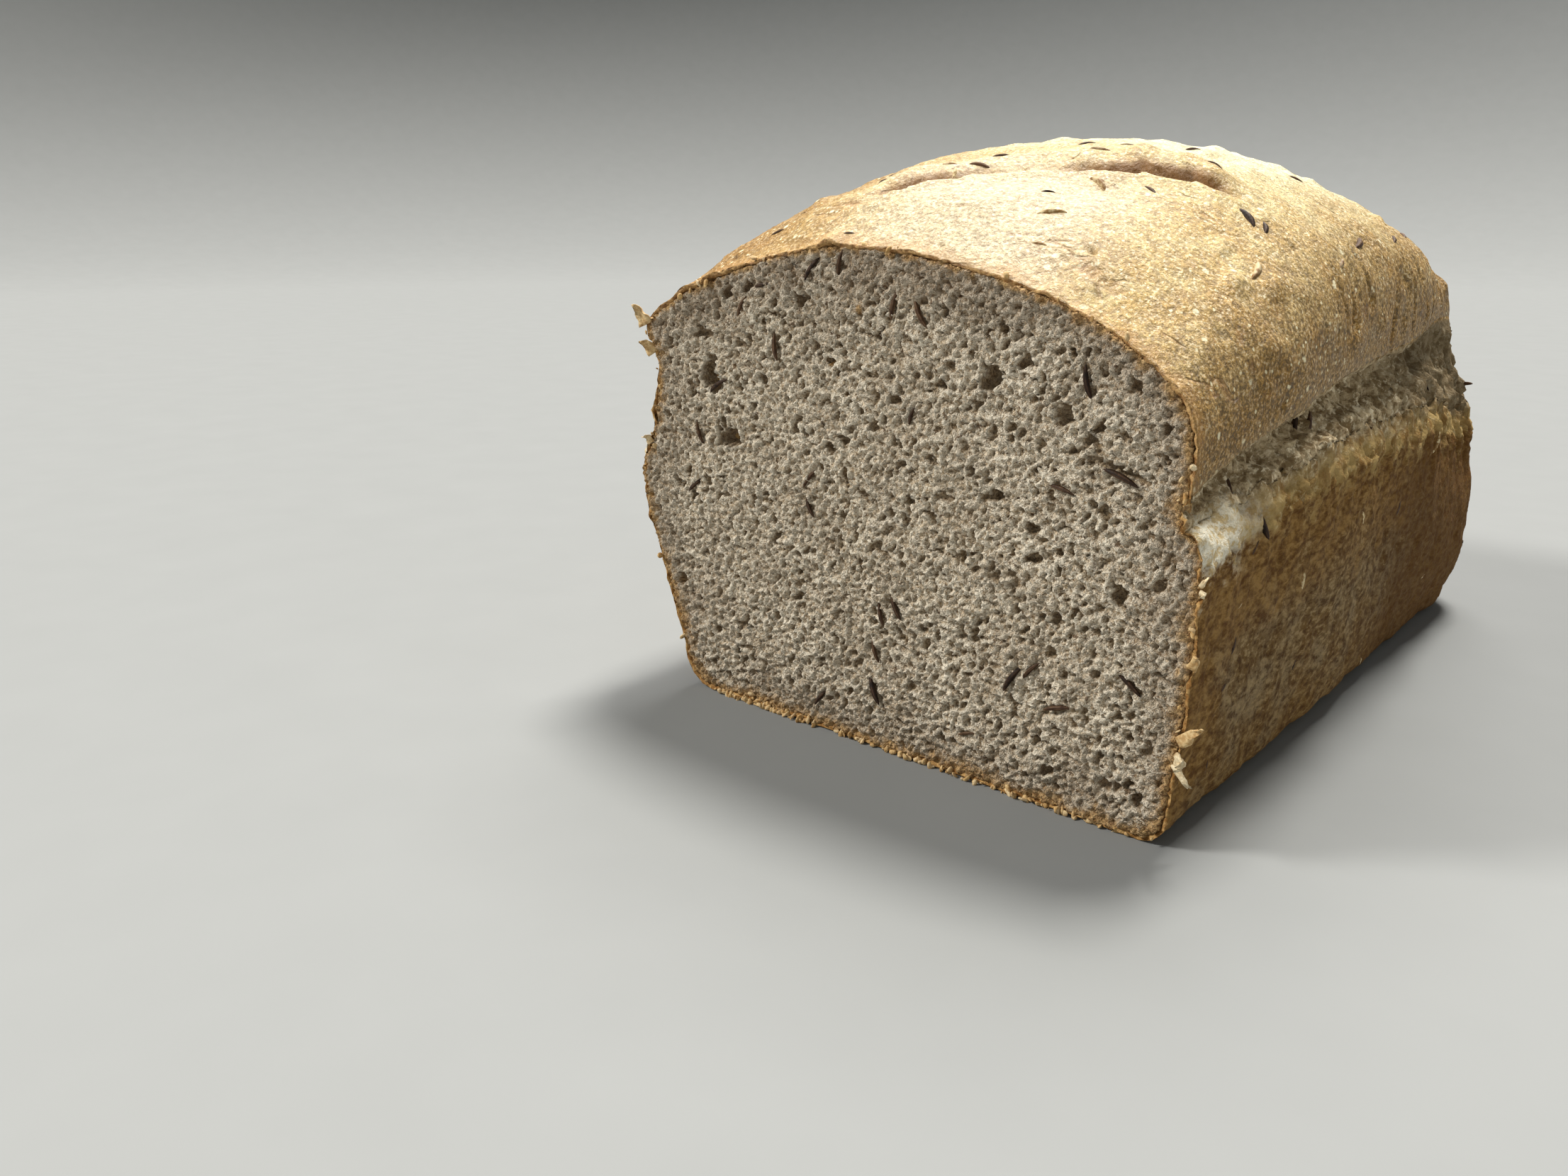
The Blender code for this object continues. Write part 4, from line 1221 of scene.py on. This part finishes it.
def crumb_paint():
    """Open rye crumb: cream walls, darker and browner in the cells as painted shade, golden towards the crust, with
    flecks of bran.
    """
    paint = Paint("crumb")
    place = paint.place
    deep, crusty, ridge, inside = (paint.measure(measure) for measure in ("deep", "crusty", "ridge", "inside"))
    fine = paint.noise(place, 0.00060, 4.0, 0.70)
    patch = paint.noise(place, 0.011, 3.0, 0.55)
    wide, narrow = crumb_web(paint, place)
    speck = paint.noise(paint.moved(place, (7.0, 3.0, 1.0)), 0.00045, 2.0, 0.6)
    broken = paint.noise(paint.moved(place, (1.0, 3.0, 5.0)), 0.00080, 3.0, 0.65)
    sunk = (deep / 0.00070).held()
    line = (wide ** 1.4).most(narrow ** 1.6 * 0.8) * broken.between(0.42, 0.52) * (1 - sunk * 0.88)
    bowl = paint.mixed(fine.between(0.40, 0.56), (0.380, 0.275, 0.160), (0.820, 0.670, 0.480))
    colour = paint.mixed(speck.between(0.44, 0.37) * 0.90, bowl, (0.150, 0.080, 0.036))
    # painted shade: the cells darker and browner the deeper they sink
    hollow = paint.mixed(fine.between(0.38, 0.66), (0.100, 0.060, 0.026), (0.330, 0.235, 0.130))
    colour = paint.mixed(sunk * 0.94, colour, hollow)
    # painted highlights on the ridges and in small glints; the web of lines is partly the pale walls themselves, partly
    # painted highlight
    lit = (ridge + (fine - 0.5) * 0.0004).between(0.00002, 0.00030)
    glint = paint.noise(paint.moved(place, (4.0, 0.0, 2.0)), 0.00042, 1.0, 0.6).between(0.55, 0.62) * (1 - sunk)
    cream_lines_and_highlights = (line * 0.95).most(lit * 0.80 * (1 - sunk * 0.8)).most(glint * 0.80)
    colour = paint.mixed(cream_lines_and_highlights, colour, (1.000, 0.905, 0.735))
    colour = paint.mixed(patch.between(0.60, 0.36) * 0.25, colour, (0.380, 0.285, 0.185))
    # painted shade: the face darker towards its top
    painted_top_shade = paint.parts(place)[2].between(0.058, 0.092)
    colour = paint.mixed(painted_top_shade * 0.22, colour, (0.150, 0.090, 0.048))
    # darker near the crust: partly the denser crumb there, partly painted shade
    near_crust = 1 - (inside + (patch - 0.5) * 0.012).between(0.001, 0.013)
    colour = paint.mixed(near_crust * 0.36, colour, (0.200, 0.125, 0.070))
    bran = paint.noise(paint.moved(place, (2.0, 5.0, 1.0)), 0.00130, 1.0, 0.5, 0.5)
    colour = paint.mixed(bran.between(0.715, 0.735) * 0.8, colour, (0.130, 0.070, 0.030))
    gold = paint.mixed(fine.between(0.36, 0.62), (0.280, 0.140, 0.044), (0.600, 0.380, 0.155))
    colour = paint.mixed(crusty * 0.9, colour, gold)
    bump = paint.noise(place, 0.00034, 2.0, 0.65) * 0.00045 + line * 0.00030 + speck * 0.00040
    return paint.finish(colour, 0.88, [(bump, 1.0)], 0.22)


def seed_paint():
    """Caraway: brown between pale ribs, or coated by the crust that baked over it."""
    paint = Paint("caraway_seed")
    rib, tone = paint.measure("rib"), paint.measure("tone")
    fine = paint.noise(paint.place, 0.0009, 2.0)
    dark = paint.mixed(tone.held(), (0.014, 0.008, 0.005), (0.085, 0.036, 0.015))
    pale = paint.mixed(tone.held(), (0.070, 0.034, 0.018), (0.330, 0.200, 0.105))
    colour = paint.mixed(rib * fine.between(0.30, 0.60), dark, pale)
    coat = paint.mixed(fine.between(0.40, 0.60), (0.360, 0.210, 0.070), (0.880, 0.740, 0.440))
    colour = paint.mixed((tone - 1.0).held() * (0.75 + fine * 0.4).held(), colour, coat)
    bump = paint.noise(paint.place, 0.0003, 2.0) * 0.00010
    return paint.finish(colour, 0.62, [(bump, 0.7)], 0.2)


def flake_paint(name):
    """Torn crust: golden outside, paler where its inner side shows."""
    paint = Paint(name)
    tone = paint.measure("tone")
    fine = paint.noise(paint.place, 0.0007, 3.0, 0.6)
    gold = paint.mixed(fine.between(0.35, 0.65), (0.440, 0.245, 0.080), (0.660, 0.460, 0.210))
    pale = paint.mixed(fine.between(0.35, 0.65), (0.680, 0.540, 0.330), (0.880, 0.770, 0.540))
    bump = paint.noise(paint.place, 0.0003, 2.0) * 0.00015
    return paint.finish(paint.mixed(tone, gold, pale), 0.75, [(bump, 0.8)], 0.3)


def floor_paint():
    """A matt pale floor."""
    paint = Paint("pale_floor")
    grain = paint.noise(paint.place, 0.02, 2.0)
    colour = paint.mixed(grain, (0.245, 0.252, 0.250), (0.260, 0.267, 0.265))
    return paint.finish(colour, 0.9, [], 0.0)


# ---------------------------------------------------------------- the loaf, put together

low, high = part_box("loaf")
rows, starts = loft()
shift = (np.array(low) + np.array(high)) / 2
shift[0] -= (rows[:, :, 0].min() + rows[:, :, 0].max()) / 2
shift[1], shift[2] = low[1], low[2]
rows[:, :, :3] += shift
cut_y = low[1]


def at(x, y, z=0.0):
    """A place given from the middle of the tin's foot and the cut, in the frame's own terms."""
    return Vector((x, y, z)) + Vector(shift)


band_row, dome_row = starts["band"], starts["dome"]
out = facing(rows[:, :, :3])
tin = crust_sheet(rows[: band_row + 1], out[: band_row + 1], at(0.004, 0.05, 0.035), 0, (0, 0, -1))
torn = crust_sheet(rows[band_row : dome_row + 1], out[band_row : dome_row + 1], at(0.004, 0.05, 0.055))
dome = crust_sheet(rows[dome_row:], out[dome_row:], at(-0.004, 0.05, 0.066), -1, (0, 0, 1))
tin_crust = crust_piece("tin_crust", tin, crust_paint("tin_crust", 0.14))
torn_band = crust_piece("torn_band", torn, crust_paint("torn_band", 0.14))
dome_crust = crust_piece("dome_crust", dome, crust_paint("dome_crust", 0.40))

outline = np.vstack([rows[::3, 0, [0, 2]], rows[::-3, -1, [0, 2]]])
crumb = crumb_face(outline, crumb_paint())

chance = random.Random(5)
seeds = Places()
for x, z, turn, length in FACE_SEEDS:
    spot = at(x, 0.0001, z)
    forward = (0.15 * chance.uniform(-1, 1), -1, 0.2 * chance.uniform(-1, 1))
    euler = lies_along(forward, (1, 0, 0), math.radians(turn))
    seeds.put(spot, euler, (length, length * 0.74, length * 0.78), chance.uniform(0.0, 0.5))

trees = {}
for piece in (tin_crust, torn_band, dome_crust):
    points, faces = [v.co for v in piece.data.vertices], [p.vertices for p in piece.data.polygons]
    trees[piece.name] = BVHTree.FromPolygons(points, faces)

for x, y, turn, length, tone in DOME_SEEDS:
    spot, normal, _, _ = trees["dome_crust"].ray_cast(at(x, y, 0.2), Vector((0, 0, -1)))
    if spot is None:
        continue
    euler = lies_along(normal, (1, 0, 0), math.radians(turn))
    wide = length * (1.2 if tone < 0.3 else 1.0)
    seeds.put(spot - normal * DOME_SEED_SINK, euler, (length, wide, wide), tone)

for y, z, turn, length in WALL_SEEDS:
    hits = []
    for name in ("tin_crust", "torn_band"):
        spot, normal, _, far = trees[name].ray_cast(at(0.2, y, z), Vector((-1, 0, 0)))
        if spot is not None:
            hits.append((far, spot, normal))
    if not hits:
        continue
    far, spot, normal = min(hits, key=lambda hit: hit[0])
    euler = lies_along(normal, (0, 1, 0), math.radians(turn))
    seeds.put(spot - normal * WALL_SEED_SINK, euler, (length, length * 1.05, length * 0.9), chance.uniform(0.0, 0.5))

for piece, count in ((dome_crust, 46), (tin_crust, 30), (torn_band, 14)):
    polygons = [p for p in piece.data.polygons if p.center.y > cut_y + 0.004 and p.center.z > 0.003]
    areas = np.cumsum([p.area for p in polygons])
    for _ in range(count):
        polygon = polygons[int(np.searchsorted(areas, chance.uniform(0, areas[-1])))]
        if polygon.area > 2e-6:
            continue
        length = chance.uniform(0.0034, 0.0054)
        coated = chance.random() < 0.75 and piece is not torn_band
        sink = chance.uniform(0.00025, 0.00045) if coated else chance.uniform(0.0001, 0.0004)
        tone = 1.7 + chance.random() * 0.3 if coated else chance.uniform(0, 0.4)
        euler = turned(polygon.normal, chance.uniform(0, 6.3))
        seeds.put(polygon.center - polygon.normal * sink, euler, (length, length * 0.8, length * 0.65), tone)
caraway = caraway_seeds(seeds, seed_paint())

flakes = Places()
for edge, side in ((rows[:, 0], 1), (rows[:, -1], -1)):
    by_base = list(range(starts["foot_turn"] - 23, starts["foot_turn"])) * 5
    for i in by_base + list(range(starts["foot_turn"], len(edge))):
        on_base, on_top = i < starts["foot_turn"], edge[i, 6] > 5.2
        if chance.random() > (0.08 if on_top else 0.85 if on_base else 0.06):
            continue
        wander = 0.0011 if on_base else 0.0006
        sideways, forward = chance.gauss(-side * 0.0007, wander), abs(chance.gauss(0.0002, 0.0003))
        spread = Vector((sideways, -forward, chance.gauss(0, 0.0005)))
        scale = chance.uniform(0.00018, 0.00060)
        spot = Vector(edge[i, :3]) + spread
        spot.z = max(spot.z, scale)
        euler = (chance.uniform(0, 6.3), chance.uniform(0, 6.3), chance.uniform(0, 6.3))
        flakes.put(spot, euler, (scale * chance.uniform(1.0, 1.8), scale, scale * 0.6), 0.6 * chance.random() ** 2)
lump_sizes = {"Lump wear": 0.0006, "Lump bend": 0.0007}
torn_flakes = rough_lumps("crust_crumbs", flakes, flake_paint("crust_crumb"), lump_sizes)
flaps = torn_flaps(flake_paint("torn_flap"))

slots = (
    (tin_crust, "crust"), (torn_band, "crumb"), (dome_crust, "crust"), (crumb, "crumb"),
    (caraway, "seed"), (torn_flakes, "crust"), (flaps, "crust"),
)
for piece, slot in slots:
    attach(piece, "root")
for piece in (tin_crust, torn_band, dome_crust, crumb):
    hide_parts("loaf")

# ---------------------------------------------------------------- floor, light and camera

FLAT_RADIUS, COVE_RADIUS, WALL_HEIGHT, STAGE_TURNS = 1.6, 0.9, 2.6, 64
CAMERA_PLACE, CAMERA_TILT, CAMERA_TURN = (0.1149, -0.1522, 0.08835), 72.68, 41.57
LENS, SENSOR_WIDTH = 26.93, 36.0


def stage_floor():
    """A pale floor that curves up into a wall all round, far from the loaf. It casts no shadow on the loaf."""
    sweep = np.linspace(0, math.pi / 2, 16)
    profile = [(0.5, 0.0)]
    profile += [(FLAT_RADIUS + COVE_RADIUS * math.sin(a), COVE_RADIUS * (1 - math.cos(a))) for a in sweep]
    profile += [(FLAT_RADIUS + COVE_RADIUS, WALL_HEIGHT)]
    turn = np.linspace(0, 2 * math.pi, STAGE_TURNS, endpoint=False)
    points = [(0.0, 0.0, 0.0)] + [(r * math.cos(a), r * math.sin(a), z) for r, z in profile for a in turn]
    faces = [(0, 1 + k, 1 + (k + 1) % STAGE_TURNS) for k in range(STAGE_TURNS)]
    for ring in range(len(profile) - 1):
        for k in range(STAGE_TURNS):
            a, b = 1 + ring * STAGE_TURNS + k, 1 + ring * STAGE_TURNS + (k + 1) % STAGE_TURNS
            faces.append((a, a + STAGE_TURNS, b + STAGE_TURNS, b))
    mesh = bpy.data.meshes.new("floor")
    mesh.from_pydata(points, [], faces)
    mesh.polygons.foreach_set("use_smooth", [True] * len(faces))
    mesh.materials.append(floor_paint())
    floor = kept("floor", mesh)
    floor.visible_shadow = False


def sunny(name, away, angle, strength, colour):
    """A broad light from far away, shining from the direction `away`."""
    light = bpy.data.lights.new(name, "SUN")
    light.angle, light.energy, light.color = math.radians(angle), strength, colour
    lamp = bpy.data.objects.new(name, light)
    lamp.rotation_euler = Vector(away).to_track_quat("Z", "Y").to_euler()
    bpy.context.scene.collection.objects.link(lamp)


stage_floor()
sunny("window", (-0.04, 0.36, 0.92), 14, 4.3, (1.0, 0.97, 0.91))
sunny("glow", (-0.235, 0.53, 0.81), 26, 2.0, (1.0, 0.98, 0.96))
sunny("fill", (-0.90, -0.72, 0.86), 13, 2.85, (1.0, 0.975, 0.93))
scene = bpy.context.scene
world = bpy.data.worlds.new("studio")
world.use_nodes = True
world.node_tree.nodes["Background"].inputs["Color"].default_value = (0.97, 0.98, 1.0, 1.0)
world.node_tree.nodes["Background"].inputs["Strength"].default_value = 0.17
scene.world = world
scene.view_settings.view_transform = "Standard"

lens = bpy.data.cameras.new("camera")
lens.lens, lens.sensor_width = LENS, SENSOR_WIDTH
lens.clip_start, lens.clip_end = 0.01, 20.0
camera = bpy.data.objects.new("camera", lens)
camera.location = at(*CAMERA_PLACE)
camera.rotation_euler = (math.radians(CAMERA_TILT), 0.0, math.radians(CAMERA_TURN))
scene.collection.objects.link(camera)
scene.camera = camera
